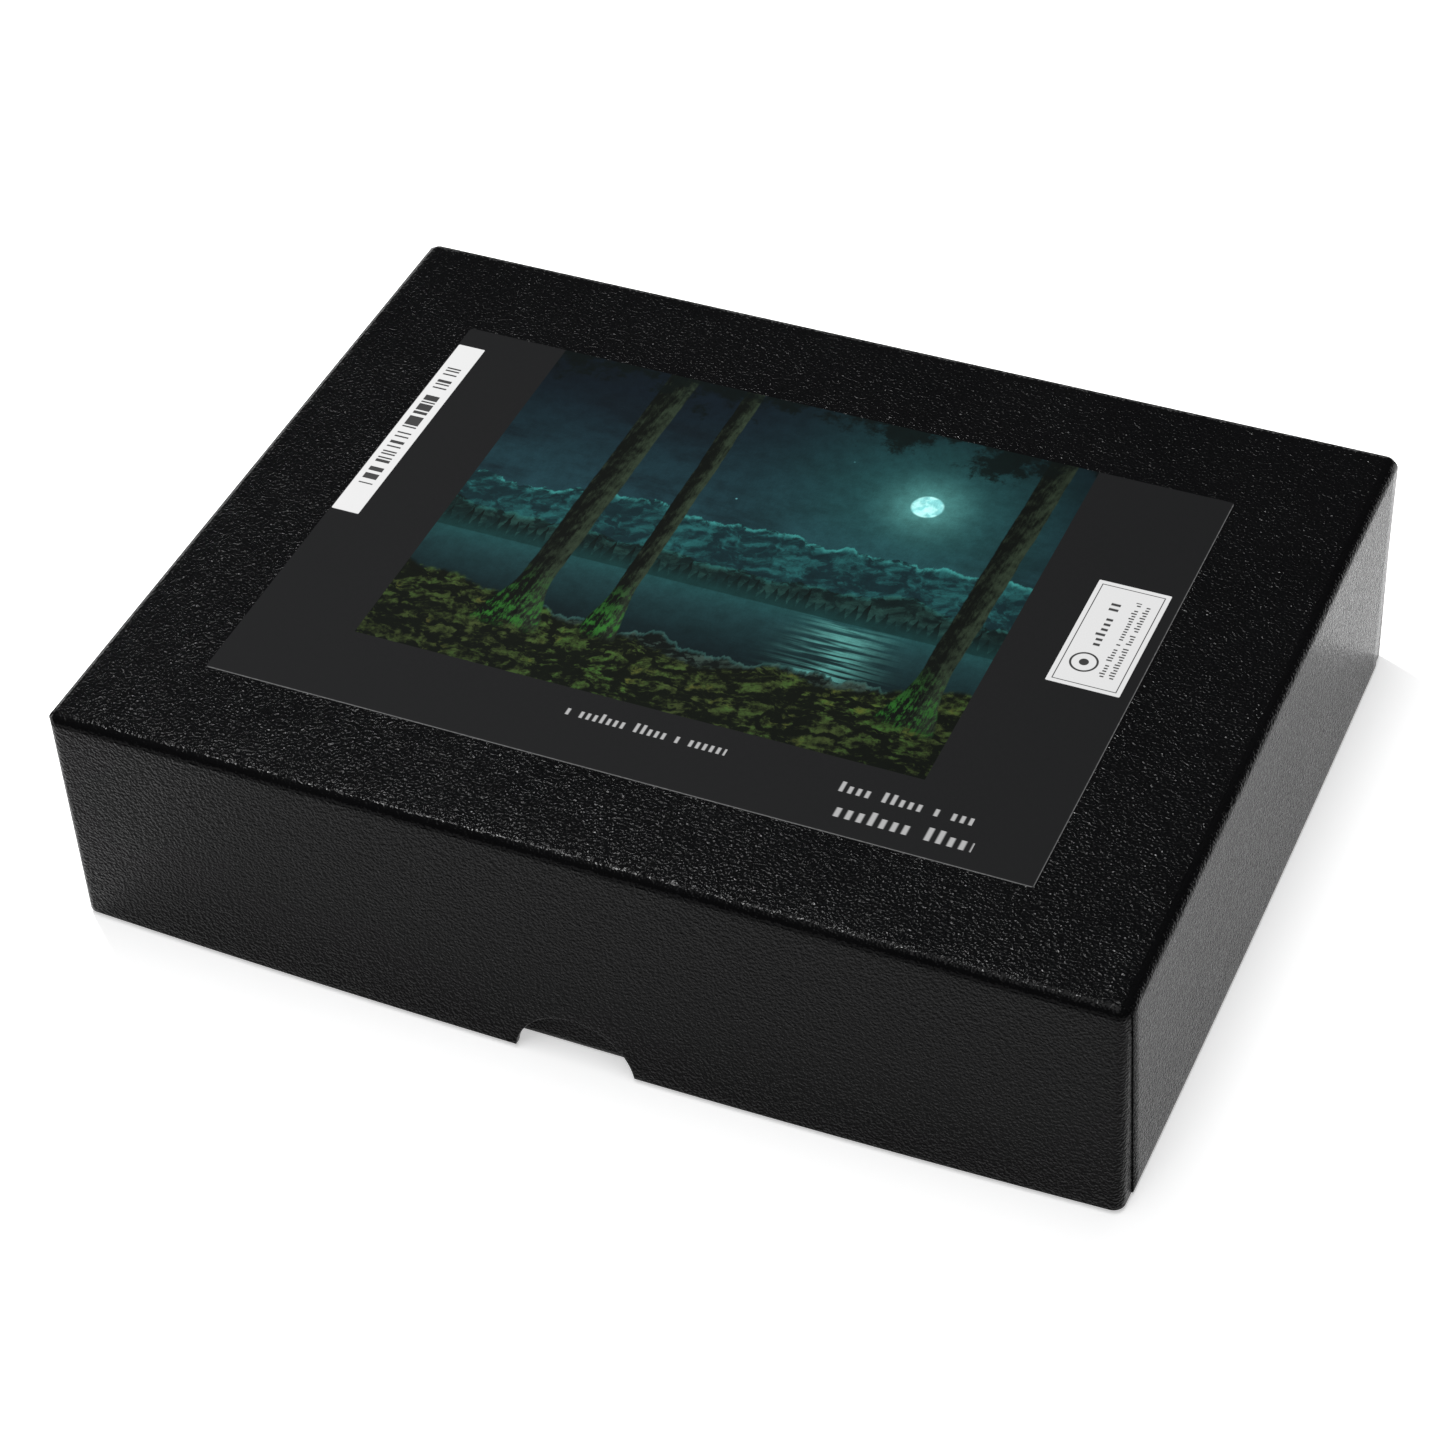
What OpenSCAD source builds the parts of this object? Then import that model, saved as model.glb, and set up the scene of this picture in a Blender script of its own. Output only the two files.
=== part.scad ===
// Boxed jigsaw puzzle: a deep lid over a base tray, both of wrapped chipboard,
// with a sealed bag of loose pieces inside. Millimetres, +Z up, the box's length along X.
// The origin is the middle of the underside, on the surface that the box stands on.

/* [Lid] */
// Length of the lid, outside
lid_l = 250; // [220:1:300]
// Width of the lid, outside
lid_w = 190; // [160:1:240]
// Height of the lid, outside
lid_h = 60; // [50:1:90]
// Height of the lid's lower edge above the surface
edge_gap = 1.2; // [0.5:0.1:3]
// Radius of the upright outer corners
corner_r = 2.8; // [1:0.1:4]
// Clear gap between the lid and the tray, on each side
play = 0.5; // [0.3:0.1:1.5]

/* [Board and paper] */
// Thickness of the folded chipboard
board_t = 1.5; // [1:0.1:2.5]
// Thickness of the leatherette wrap
wrap_t = 0.2; // [0.1:0.05:0.4]
// Thickness of the paper tape round each corner
stay_t = 0.1; // [0.05:0.05:0.2]
// Length of the tape on each side of a corner
stay_w = 14; // [8:1:25]
// Thickness of the white lining paper
lining_t = 0.15; // [0.1:0.05:0.3]
// Depth of the wrap turned in over the rim
turn_in = 15; // [13:1:25]
// Room left under the lid's lining, where it rests on the tray
rest_gap = 0.3; // [0.2:0.1:1]

/* [Thumb notch] */
// Radius of the half-round notch in each long wall of the lid
notch_r = 14.5; // [8:0.5:20]
// Depth of the notch's centre below the lid's lower edge
notch_drop = 2.4; // [0:0.1:5]

/* [Label and stickers] */
// Length of the label
label_l = 194.5; // [120:0.5:200]
// Width of the label
label_w = 132.7; // [80:0.1:140]
// Place of the label's middle along the length
label_x = -2.25; // [-8:0.25:8]
// Place of the label's middle across the width
label_y = -1.55; // [-8:0.05:8]
// Thickness of the label
label_t = 0.15; // [0.1:0.05:0.3]
// Size of the bar strip at the label's left end
strip_size = [7, 66.6]; // [5:0.5:70]
// Size of the framed notice near the label's right end
notice_size = [17, 35.7]; // [10:0.5:40]
// Thickness of the stickers
sticker_t = 0.1; // [0.05:0.05:0.2]

/* [Puzzle] */
// Pieces along the puzzle's length
cols = 26; // [20:1:26]
// Pieces across the puzzle's width
rows = 20; // [16:1:20]
// Length of the made-up puzzle
puzzle_l = 508; // [480:1:508]
// Width of the made-up puzzle
puzzle_w = 406.4; // [380:0.1:406.4]
// Thickness of the pieces
piece_t = 1.9; // [1.5:0.1:2]
// Radius of the round knobs
knob_r = 2.9; // [2.4:0.1:3]
// Distance of a knob's centre from the piece's edge
knob_out = 2.2; // [1.5:0.1:2.4]
// Most that a knob sits off the middle of its side
knob_drift = 1.2; // [0:0.1:1.5]
// Width of the die's cut between pieces
cut_w = 0.1; // [0.05:0.05:0.2]

/* [Bag] */
// Thickness of the bag's film
film_t = 0.3; // [0.1:0.1:0.5]
// Clear gap between the bag and the tray's walls
bag_gap = 0.5; // [0.3:0.1:1]
// Radius of the bag's upright corners
bag_r = 12; // [5:1:20]

/* [Hidden] */
$fn = 48;

leatherette = "#141516";
chipboard = "#b49a74";
kraft = "#a07c4c";
lining_white = "#eceae4";
label_black = "#232426";
sticker_white = "#f2f2f0";
print_teal = "#1f5a5c";

// One wall: wrap outside, tape or glue, board, and wrap turned in
wall_t = wrap_t + stay_t + board_t + wrap_t;
// Size of the tray that slides up inside the lid
base_l = lid_l - 2 * (wall_t + play);
base_w = lid_w - 2 * (wall_t + play);
base_h = edge_gap + lid_h - wrap_t - board_t - lining_t - rest_gap;
// Height of the lid's top face
top_z = edge_gap + lid_h;
over = 1;

// The stickers sit on the label, the strip just inside its left edge
strip_at = [label_x - label_l / 2 + strip_size.x / 2 + 0.3, 24.5];
notice_at = [83.8, 10.85];

// The pieces lie in the bag in layers of close rows, turned by the golden angle
golden = 0.618034;
cell = [puzzle_l / cols, puzzle_w / rows];
piece_count = cols * rows;
heap_cols = 7;
heap_rows = 6;
heap_pitch = 31.4;
heap_row_pitch = 28.4;
per_layer = heap_cols * heap_rows;
// Steps through the heap's places that visit each of them once
shuffle_step = 197;
place_step = 5;
// The lowest layers lie flat, and the last two lean
flat_layers = 11;
lean_step = 6;
layer_gap = 0.15;
reach = norm(cell) / 2 + 1.4;
bag_floor = wrap_t + board_t + lining_t + 0.15;
heap_floor = bag_floor + film_t + 0.15;
heap_top = layer_mid(flat_layers + 1) + reach * sin(2 * lean_step) + piece_t / 2;
bag_l = base_l - 2 * (wall_t + bag_gap);
bag_w = base_w - 2 * (wall_t + bag_gap);
bag_h = heap_top - bag_floor + film_t + 0.5;

function frac(v) = v - floor(v);

// Lean of a layer's pieces, in degrees
function lean(layer) = max(0, layer - flat_layers + 1) * lean_step;

// Room that one leaning layer takes
function layer_room(layer) = 2 * reach * sin(lean(layer)) + piece_t + layer_gap;

// Height of the middle of a layer
function layer_mid(layer) =
    layer < 0 ? heap_floor - layer_room(0) / 2
    : layer_mid(layer - 1) + (layer_room(layer - 1) + layer_room(layer)) / 2;

// Which way the knob points across the seam with number n, and how far off middle it sits
function knob_way(n) = frac(n * golden) < 0.5 ? 1 : -1;
function knob_shift(n) = (2 * frac(n * golden * 7) - 1) * knob_drift;

// Number of the seam to the right of a piece, and of the seam above it
function seam_right(i, j) = 37 * i + 61 * j;
function seam_above(i, j) = 53 * i + 29 * j + 11;

// Knob (1), socket (-1) or straight edge (0) on side k: right, back, left, front
function side(i, j, k) =
    k == 0 ? (i == cols - 1 ? 0 : knob_way(seam_right(i, j)))
    : k == 1 ? (j == rows - 1 ? 0 : knob_way(seam_above(i, j)))
    : k == 2 ? (i == 0 ? 0 : -knob_way(seam_right(i - 1, j)))
    : (j == 0 ? 0 : -knob_way(seam_above(i, j - 1)));

// Place of the knob or socket along side k, after that side is turned to face right
function side_shift(i, j, k) =
    k == 0 ? knob_shift(seam_right(i, j))
    : k == 1 ? -knob_shift(seam_above(i, j))
    : k == 2 ? -knob_shift(seam_right(i - 1, j))
    : knob_shift(seam_above(i, j - 1));

function knobs(i, j) = len([for (k = [0:3]) if (side(i, j, k) > 0) k]);
function straights(i, j) = len([for (k = [0:3]) if (side(i, j, k) == 0) k]);

// A block on the floor, centred, with rounded upright corners where r allows
module block(l, w, h, r) {
    if (r > 0.1)
        linear_extrude(height = h) {
            square([l - 2 * r, w], center = true);
            square([l, w - 2 * r], center = true);
            for (sx = [-1, 1], sy = [-1, 1])
                translate([sx * (l / 2 - r), sy * (w / 2 - r)]) circle(r);
        }
    else
        translate([-l / 2, -w / 2, 0]) cube([l, w, h]);
}

// The four layers of a wrapped tray with its open side up, size l, w, h outside

module tray_board(l, w, h) {
    inset = wrap_t + stay_t;
    difference() {
        translate([0, 0, wrap_t])
            block(l - 2 * inset, w - 2 * inset, h - 2 * wrap_t, corner_r - inset);
        translate([0, 0, wrap_t + board_t])
            block(l - 2 * (inset + board_t), w - 2 * (inset + board_t), h, 0);
    }
}

module tray_stays(l, w, h) {
    inset = wrap_t + stay_t;
    intersection() {
        difference() {
            translate([0, 0, 2 * over])
                block(l - 2 * wrap_t, w - 2 * wrap_t, h - 4 * over, corner_r - wrap_t);
            block(l - 2 * inset, w - 2 * inset, h, corner_r - inset);
        }
        for (sx = [-1, 1], sy = [-1, 1])
            translate([sx * l / 2, sy * w / 2, h / 2]) cube([2 * stay_w, 2 * stay_w, 2 * h], center = true);
    }
}

module tray_wrap(l, w, h) {
    inside = [l - 2 * wall_t, w - 2 * wall_t];
    difference() {
        block(l, w, h, corner_r);
        translate([0, 0, wrap_t])
            block(l - 2 * wrap_t, w - 2 * wrap_t, h - 2 * wrap_t, corner_r - wrap_t);
        translate([0, 0, h / 2])
            block(inside.x, inside.y, h, 0);
    }
    translate([0, 0, h - turn_in])
        difference() {
            block(inside.x + 2 * wrap_t, inside.y + 2 * wrap_t, turn_in, 0);
            translate([0, 0, -over]) block(inside.x, inside.y, turn_in + 2 * over, 0);
        }
}

module tray_lining(l, w, h) {
    inside = [l - 2 * (wall_t - wrap_t), w - 2 * (wall_t - wrap_t)];
    foot = wrap_t + board_t;
    difference() {
        translate([0, 0, foot])
            block(inside.x, inside.y, h - turn_in - foot, 0);
        translate([0, 0, foot + lining_t])
            block(inside.x - 2 * lining_t, inside.y - 2 * lining_t, h, 0);
    }
}

// Turns an open tray over into the lid's place
module as_lid() {
    translate([0, 0, top_z]) mirror([0, 0, 1]) children();
}

// The thumb notch's cutter, through both long walls
module notch_cutter() {
    translate([0, 0, edge_gap - notch_drop])
        rotate([90, 0, 0]) cylinder(r = notch_r, h = 2 * lid_w, center = true);
}

module base_board() {
    color(chipboard) tray_board(base_l, base_w, base_h);
}

module base_corner_stays() {
    color(kraft) tray_stays(base_l, base_w, base_h);
}

module base_wrap() {
    color(leatherette) tray_wrap(base_l, base_w, base_h);
}

module base_lining() {
    color(lining_white) tray_lining(base_l, base_w, base_h);
}

module lid_board() {
    color(chipboard)
        difference() {
            as_lid() tray_board(lid_l, lid_w, lid_h);
            notch_cutter();
        }
}

module lid_corner_stays() {
    color(kraft) as_lid() tray_stays(lid_l, lid_w, lid_h);
}

module lid_wrap() {
    color(leatherette)
        difference() {
            as_lid() tray_wrap(lid_l, lid_w, lid_h);
            notch_cutter();
        }
}

module lid_lining() {
    color(lining_white) as_lid() tray_lining(lid_l, lid_w, lid_h);
}

module lid_label() {
    color(label_black)
        translate([label_x, label_y, top_z]) block(label_l, label_w, label_t, 1);
}

// A sticker of the given size on the label, at its middle
module sticker(size, at) {
    translate([at.x, at.y, top_z + label_t]) block(size.x, size.y, sticker_t, 0);
}

module barcode_sticker() {
    color(sticker_white) sticker(strip_size, strip_at);
}

module notice_sticker() {
    color(sticker_white) sticker(notice_size, notice_at);
}

// Sealed film bag, a closed shell round the heap of pieces
module piece_bag() {
    color("#d8e4ea", 0.35)
        translate([0, 0, bag_floor])
            difference() {
                block(bag_l, bag_w, bag_h, bag_r);
                translate([0, 0, film_t])
                    block(bag_l - 2 * film_t, bag_w - 2 * film_t, bag_h - 2 * film_t, bag_r - film_t);
            }
}

// Outline of the piece in column i and row j, centred on its cell
module piece_outline(i, j) {
    difference() {
        union() {
            square([cell.x - cut_w, cell.y - cut_w], center = true);
            for (k = [0:3])
                if (side(i, j, k) > 0)
                    rotate(90 * k)
                        translate([cell[k % 2] / 2 + knob_out, side_shift(i, j, k)])
                            circle(knob_r - cut_w / 2);
        }
        for (k = [0:3])
            if (side(i, j, k) < 0)
                rotate(90 * k)
                    translate([cell[k % 2] / 2 - knob_out, side_shift(i, j, k)])
                        circle(knob_r + cut_w / 2);
    }
}

// The piece in column i and row j, lying in its place in the heap
module loose_piece(i, j) {
    slot = ((j * cols + i) * shuffle_step) % piece_count;
    layer = floor(slot / per_layer);
    place = (slot * place_step) % per_layer;
    heap_row = floor(place / heap_cols);
    row_shift = (heap_row + layer) % 2 == 0 ? -heap_pitch / 4 : heap_pitch / 4;
    turn = 360 * frac(slot * golden);
    lean_way = 360 * frac(slot * golden * 3);
    face_down = frac(slot * golden * 5) < 0.4;
    translate([
        (place % heap_cols - (heap_cols - 1) / 2) * heap_pitch + row_shift,
        (heap_row - (heap_rows - 1) / 2) * heap_row_pitch,
        layer_mid(layer)
    ])
        rotate([0, 0, lean_way]) rotate([lean(layer), 0, 0]) rotate([0, 0, turn - lean_way])
            rotate([face_down ? 180 : 0, 0, 0])
                translate([0, 0, -piece_t / 2])
                    linear_extrude(height = piece_t) piece_outline(i, j);
}

module corner_pieces() {
    color(print_teal)
        for (i = [0, cols - 1], j = [0, rows - 1]) loose_piece(i, j);
}

module edge_pieces() {
    color(print_teal)
        for (i = [0:cols - 1], j = [0:rows - 1])
            if (straights(i, j) == 1) loose_piece(i, j);
}

module inner_pieces(count) {
    color(print_teal)
        for (i = [1:cols - 2], j = [1:rows - 2])
            if (knobs(i, j) == count) loose_piece(i, j);
}

base_board();
base_corner_stays();
base_wrap();
base_lining();
lid_board();
lid_corner_stays();
lid_wrap();
lid_lining();
lid_label();
barcode_sticker();
notice_sticker();
piece_bag();
corner_pieces();
edge_pieces();
inner_pieces(0);  // inner_pieces_0_knobs
inner_pieces(1);  // inner_pieces_1_knob
inner_pieces(2);  // inner_pieces_2_knobs
inner_pieces(3);  // inner_pieces_3_knobs
inner_pieces(4);  // inner_pieces_4_knobs
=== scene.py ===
# %% [markdown]
# # A boxed jigsaw puzzle
# A rigid puzzle box is two trays of folded chipboard, the lid just big enough to slide down over
# the other. Each is wrapped in paper, here black with a pressed leather grain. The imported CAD
# model is the fixed frame: it says where every piece goes, and these cells give each one its
# finished surface. Everything is in metres, with the box's length along X and its front at -Y.

# %% Load the frame
import math

import bpy
import numpy as np
from mathutils import Matrix, Vector


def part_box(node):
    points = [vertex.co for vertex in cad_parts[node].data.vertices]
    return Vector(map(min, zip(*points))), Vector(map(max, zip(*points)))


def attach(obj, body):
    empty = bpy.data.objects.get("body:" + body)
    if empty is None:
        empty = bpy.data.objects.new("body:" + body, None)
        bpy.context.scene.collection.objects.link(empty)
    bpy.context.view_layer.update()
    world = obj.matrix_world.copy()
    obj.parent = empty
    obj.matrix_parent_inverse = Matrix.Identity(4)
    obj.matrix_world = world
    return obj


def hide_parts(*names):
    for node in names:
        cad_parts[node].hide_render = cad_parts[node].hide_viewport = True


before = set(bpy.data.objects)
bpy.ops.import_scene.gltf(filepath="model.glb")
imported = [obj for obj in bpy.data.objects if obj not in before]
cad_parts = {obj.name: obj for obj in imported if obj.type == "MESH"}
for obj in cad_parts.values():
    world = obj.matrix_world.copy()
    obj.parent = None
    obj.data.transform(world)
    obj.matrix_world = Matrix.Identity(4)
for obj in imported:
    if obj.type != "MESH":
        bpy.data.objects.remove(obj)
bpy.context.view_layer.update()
MM = 0.001

# %% [markdown]
# ## Camera
# A long lens stands about three and a half box lengths away, in front and to the right, and looks
# down at some 42 degrees. Its place is given in box lengths, so it follows the box if that changes.
# The long lens keeps the box's edges nearly parallel, as in a catalogue.

# %% Camera
lid_low, lid_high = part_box("lid_wrap")
length = lid_high.x - lid_low.x
LENS, SENSOR = 95.94, 36.0
CAMERA_AT = (1.13604, -2.38747, 2.47711)
LOOK_AZIMUTH, LOOK_DOWN, ROLL = 25.949, 42.306, -3.555


def add_camera():
    """Aims a camera by its azimuth, its angle below the horizon and its roll, in that order."""
    data = bpy.data.cameras.new("camera")
    data.lens, data.sensor_width = LENS, SENSOR
    data.clip_start, data.clip_end = 0.05, 50.0
    camera = bpy.data.objects.new("camera", data)
    bpy.context.scene.collection.objects.link(camera)
    turn = Matrix.Rotation(math.radians(LOOK_AZIMUTH), 4, "Z")
    tilt = Matrix.Rotation(math.radians(90 - LOOK_DOWN), 4, "X")
    roll = Matrix.Rotation(math.radians(ROLL), 4, "Z")
    place = Vector(CAMERA_AT) * length + Vector((0, 0, lid_low.z))
    camera.matrix_world = Matrix.Translation(place) @ turn @ tilt @ roll
    bpy.context.scene.camera = camera
    return camera


camera = add_camera()
print("camera at", [round(v, 3) for v in camera.location])

# %% [markdown]
# ## Floor
# Black board shows almost nothing of its own colour: what is seen on it is what it mirrors. The
# front and right walls mirror the floor, so the floor matters as much as the lamps. It gives off a
# little light of its own, like a light table, which also keeps the box's shadow on it faint.

# %% Floor
FLOOR_SIZE, FLOOR_GLOW = 6.0, 0.52


def add_floor():
    """One big square at the height of the box's underside."""
    half = FLOOR_SIZE / 2
    corners = [(-half, -half, 0), (half, -half, 0), (half, half, 0), (-half, half, 0)]
    mesh = bpy.data.meshes.new("floor")
    mesh.from_pydata(corners, [], [(0, 1, 2, 3)])
    floor = bpy.data.objects.new("floor", mesh)
    bpy.context.scene.collection.objects.link(floor)
    paint = bpy.data.materials.new("pale_floor")
    paint.use_nodes = True
    shader = paint.node_tree.nodes["Principled BSDF"]
    shader.inputs["Base Color"].default_value = (0.9, 0.9, 0.9, 1)
    shader.inputs["Roughness"].default_value = 0.9
    shader.inputs["Specular IOR Level"].default_value = 0.1
    shader.inputs["Emission Color"].default_value = (1, 1, 1, 1)
    shader.inputs["Emission Strength"].default_value = FLOOR_GLOW
    mesh.materials.append(paint)
    return floor


floor = add_floor()
print("floor:", FLOOR_SIZE, "m square")

# %% [markdown]
# ## Lamps
# Two lamps do different work. The wide one overhead lights the floor and the label evenly. The
# small one stands behind and to the left, where the lid's grain mirrors it towards the camera: each
# little slope in the leather that faces the right way glints. A dim grey world fills the rest.

# %% Lamps
WORLD_GREY, WORLD_STRENGTH = (0.55, 0.56, 0.58, 1.0), 0.12
# Name, place, width and height in metres, and watts
LAMPS = (("overhead_lamp", (0.05, -0.35, 1.7), (0.65, 1.7), 20.0),
         ("sparkle_lamp", (-0.50, 0.30, 1.23), (0.12, 0.12), 20.0))


def add_softbox(name, place, target, size, watts):
    """A rectangular lamp of the given width and height that faces the target."""
    data = bpy.data.lights.new(name, "AREA")
    data.shape, data.size, data.size_y = "RECTANGLE", size[0], size[1]
    data.energy = watts
    lamp = bpy.data.objects.new(name, data)
    bpy.context.scene.collection.objects.link(lamp)
    away = Vector(place) - Vector(target)
    lamp.matrix_world = Matrix.Translation(place) @ away.to_track_quat("Z", "Y").to_matrix().to_4x4()
    return lamp


box_middle = (0, 0, lid_high.z / 2)
for name, place, size, watts in LAMPS:
    add_softbox(name, place, box_middle, size, watts)

world = bpy.data.worlds.new("studio")
world.use_nodes = True
sky = world.node_tree.nodes["Background"]
sky.inputs["Color"].default_value = WORLD_GREY
sky.inputs["Strength"].default_value = WORLD_STRENGTH
bpy.context.scene.world = world
# Plain display colours, so that whites stay white and the blacks keep their depth
bpy.context.scene.view_settings.view_transform = "Standard"
print("lamps:", [name for name, *_ in LAMPS])

# %% [markdown]
# ## Meshes from arrays
# Each piece is a grid of points: rows that follow one another round a closed loop of columns.
# The points come from numpy in one array, and the four-sided faces between them are index
# arithmetic, so no Python loop walks over vertices. One function closes the ends with flat caps.

# %% Grid to mesh
def grid_faces(rows, cols, closed=True, flip=False):
    """Quads between neighbouring rows and columns: corner (r, c) is vertex r * cols + c.
    With closed=True the last column joins the first. flip turns the faces over."""
    r, c = np.meshgrid(np.arange(rows - 1), np.arange(cols if closed else cols - 1), indexing="ij")
    right = (c + 1) % cols
    quads = np.stack([r * cols + c, (r + 1) * cols + c, (r + 1) * cols + right, r * cols + right], -1)
    quads = quads.reshape(-1, 4)
    return quads[:, ::-1] if flip else quads


def new_piece(name, points, faces, smooth=True):
    """Links a mesh made of a point array and a list of faces into the scene."""
    mesh = bpy.data.meshes.new(name)
    mesh.from_pydata(np.asarray(points, float).reshape(-1, 3).tolist(), [], faces)
    mesh.polygons.foreach_set("use_smooth", np.full(len(mesh.polygons), smooth))
    mesh.update()
    piece = bpy.data.objects.new(name, mesh)
    bpy.context.scene.collection.objects.link(piece)
    return piece


def capped_faces(rows, cols, first=True, last=True, flip=False):
    """The grid's quads and, where asked, one flat face over the first and over the last row."""
    faces = grid_faces(rows, cols, True, flip).tolist()
    ring = list(range(cols))
    if first:
        faces.append(ring[::-1] if flip else ring)
    if last:
        end = [(rows - 1) * cols + i for i in ring]
        faces.append(end if flip else end[::-1])
    return faces


# %% [markdown]
# ## The walls as one swept profile
# A tray's board, wrap and lining are all the same idea: a profile that runs from the middle of the
# closed side, over the edge, down the wall and round the rim, carried once round a rectangle with
# small round corners. The loop round the rectangle holds, for each column, where it is along its
# wall, which way is outwards, and how far the thumb notch lifts the rim there. Because the notch
# is only a lift of the rim, the same profile makes the plain wall and the arch. Chipboard walls
# under damp-stretched paper bow out between their corners, most at the rim, and that is added last.

# %% Loop round a tray
CORNER_R = 2.8 * MM
NOTCH_R, NOTCH_DROP = 14.5 * MM, 2.4 * MM
FRONT_BOW, BACK_BOW, SIDE_BOW = 2.4 * MM, 1.6 * MM, 0.5 * MM


def tray_loop(half, notched, bows):
    """Columns anticlockwise round a rectangle of half sizes half. share is the place along each
    straight wall from -1 to 1, angle the outward direction, lift the height of the notch's arch,
    the circle r sin(angle) less the drop of its centre, and bow the most that the wall bulges."""
    reach_x, reach_y = half[0] - CORNER_R, half[1] - CORNER_R
    plain = np.linspace(-reach_x, reach_x, 64)
    x, lift = plain, np.zeros_like(plain)
    if notched:
        start = math.asin(NOTCH_DROP / NOTCH_R)
        sweep = np.linspace(math.pi - start, start, 45)
        arch_x, arch = NOTCH_R * np.cos(sweep), NOTCH_R * np.sin(sweep) - NOTCH_DROP
        beside = np.linspace(-reach_x, arch_x[0], 30)[:-1]
        x = np.concatenate([beside, arch_x, -beside[::-1]])
        lift = np.concatenate([0 * beside, arch, 0 * beside])
    y = np.linspace(-reach_y, reach_y, 48)
    bend = np.radians(np.linspace(0, 90, 9)[1:-1])
    walls = [
        (x / reach_x, -1 + 0 * x, -math.pi / 2 + 0 * x, lift, bows[0]),
        (1 + 0 * y, y / reach_y, 0 * y, 0 * y, bows[1]),
        (-x / reach_x, 1 + 0 * x, math.pi / 2 + 0 * x, lift[::-1], bows[2]),
        (-1 + 0 * y, -y / reach_y, math.pi + 0 * y, 0 * y, bows[3]),
    ]
    share_x, share_y, angle, rise, bow = [], [], [], [], []
    for number, (sx, sy, turn, up, bulge) in enumerate(walls):
        along = sx if number % 2 == 0 else sy
        share_x += [sx, np.full(bend.size, sx[-1])]
        share_y += [sy, np.full(bend.size, sy[-1])]
        angle += [turn, turn[-1] + bend]
        rise += [up, np.zeros(bend.size)]
        bow += [bulge * (1 - along**2), np.zeros(bend.size)]
    parts = [np.concatenate(p) for p in (share_x, share_y, angle, rise, bow)]
    return dict(zip(("share_x", "share_y", "angle", "lift", "bow"), parts))


def sweep_profile(loop, half, profile, height):
    """Carries the profile round the loop. A profile row is (outward offset, height above the rim,
    share of the notch's lift). A point is the corner circle's centre, moved along the wall by its
    share, plus the corner radius and the bow in the outward direction. The bow grows towards the
    rim as depth to the power 1.4."""
    offset, up, lifted = (np.asarray(profile, float)[:, k, None] for k in range(3))
    radius = np.maximum(CORNER_R + offset, 0.15 * MM)
    z = up + lifted * loop["lift"]
    depth = np.clip((height - z) / height, 0, 1)
    out = radius + loop["bow"] * depth**1.4
    x = loop["share_x"] * (half[0] + offset - radius) + np.cos(loop["angle"]) * out
    y = loop["share_y"] * (half[1] + offset - radius) + np.sin(loop["angle"]) * out
    return np.stack([x, y, z + 0 * x], -1)


# %% [markdown]
# ## Profiles
# A profile is a short list of points. Straight stretches get enough rows for the bow to curve
# smoothly, and the edge over the closed side is an arc of 2.4 mm: paper pulled over board never
# makes a sharp edge, and this arc is what catches the long highlight along the front of the lid.

# %% Profile parts
EDGE_R, RIM_R = 2.4 * MM, 0.45 * MM
WALL_ROWS, EDGE_ROWS, RIM_ROWS = 22, 9, 5
# How far inside the edge the closed side has its rings of points, in mm
RINGS = (60, 24, 6)


def arc(centre_out, centre_up, radius, start, end, steps, lift):
    """Points on a circle about (centre_out, centre_up), from one angle in degrees to another."""
    turn = np.radians(np.linspace(start, end, steps))
    out, up = centre_out + radius * np.cos(turn), centre_up + radius * np.sin(turn)
    return np.stack([out, up, np.full(steps, lift)], -1)


def straight(start, end, steps):
    """Evenly spaced points between two profile points, both ends left out."""
    t = np.linspace(0, 1, steps + 2)[1:-1, None]
    return np.asarray(start) * (1 - t) + np.asarray(end) * t


def outside(offset, top, edge_r):
    """From the middle of the closed side out to its edge, over it and down the wall."""
    flat_part = [(offset - edge_r - ring * MM, top, 0) for ring in RINGS]
    over = arc(offset - edge_r, top - edge_r, edge_r, 90, 0, EDGE_ROWS, 0)
    wall = straight((offset, top - edge_r, 0), (offset, RIM_R, 1), WALL_ROWS)
    return np.concatenate([flat_part, over, wall])


def round_rim(outer, inner, foot):
    """Round the rim from the outer face to the inner face, at height foot."""
    down = arc(outer - RIM_R, foot + RIM_R, RIM_R, 0, -90, RIM_ROWS, 1)
    up = arc(inner + RIM_R, foot + RIM_R, RIM_R, -90, -180, RIM_ROWS, 1)
    return np.concatenate([down, up])


# %% [markdown]
# ## The sizes of the two trays
# The layers' places are differences between the CAD nodes' boxes: how far the board stands in from
# the wrap, how thick it is, and how deep the wrap is turned in before the lining starts.

# %% Tray sizes
LINING_T = 0.15 * MM


def tray_sizes(prefix, open_up):
    """Half sizes, rim and closed-side heights, and layer offsets, from the CAD nodes' boxes."""
    wrap_low, wrap_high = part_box(prefix + "_wrap")
    board_low, board_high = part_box(prefix + "_board")
    lining_low, lining_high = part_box(prefix + "_lining")
    turned = wrap_high.z - lining_high.z if open_up else lining_low.z - wrap_low.z
    return {
        "half": (wrap_high.x, wrap_high.y),
        "height": wrap_high.z - wrap_low.z,
        "foot": wrap_high.z if open_up else wrap_low.z,
        "open_up": open_up,
        "wrap_t": board_low.z - wrap_low.z,
        "board_out": board_high.x - wrap_high.x,
        "board_in": lining_high.x - wrap_high.x,
        "turn_in": turned,
    }


def in_place(points, tray):
    """Turns heights above the rim into places in the frame. The base tray stands upside down
    compared with the lid, so its heights count downwards from its rim."""
    placed = np.array(points)
    placed[..., 2] = tray["foot"] + (-placed[..., 2] if tray["open_up"] else placed[..., 2])
    return placed


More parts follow.
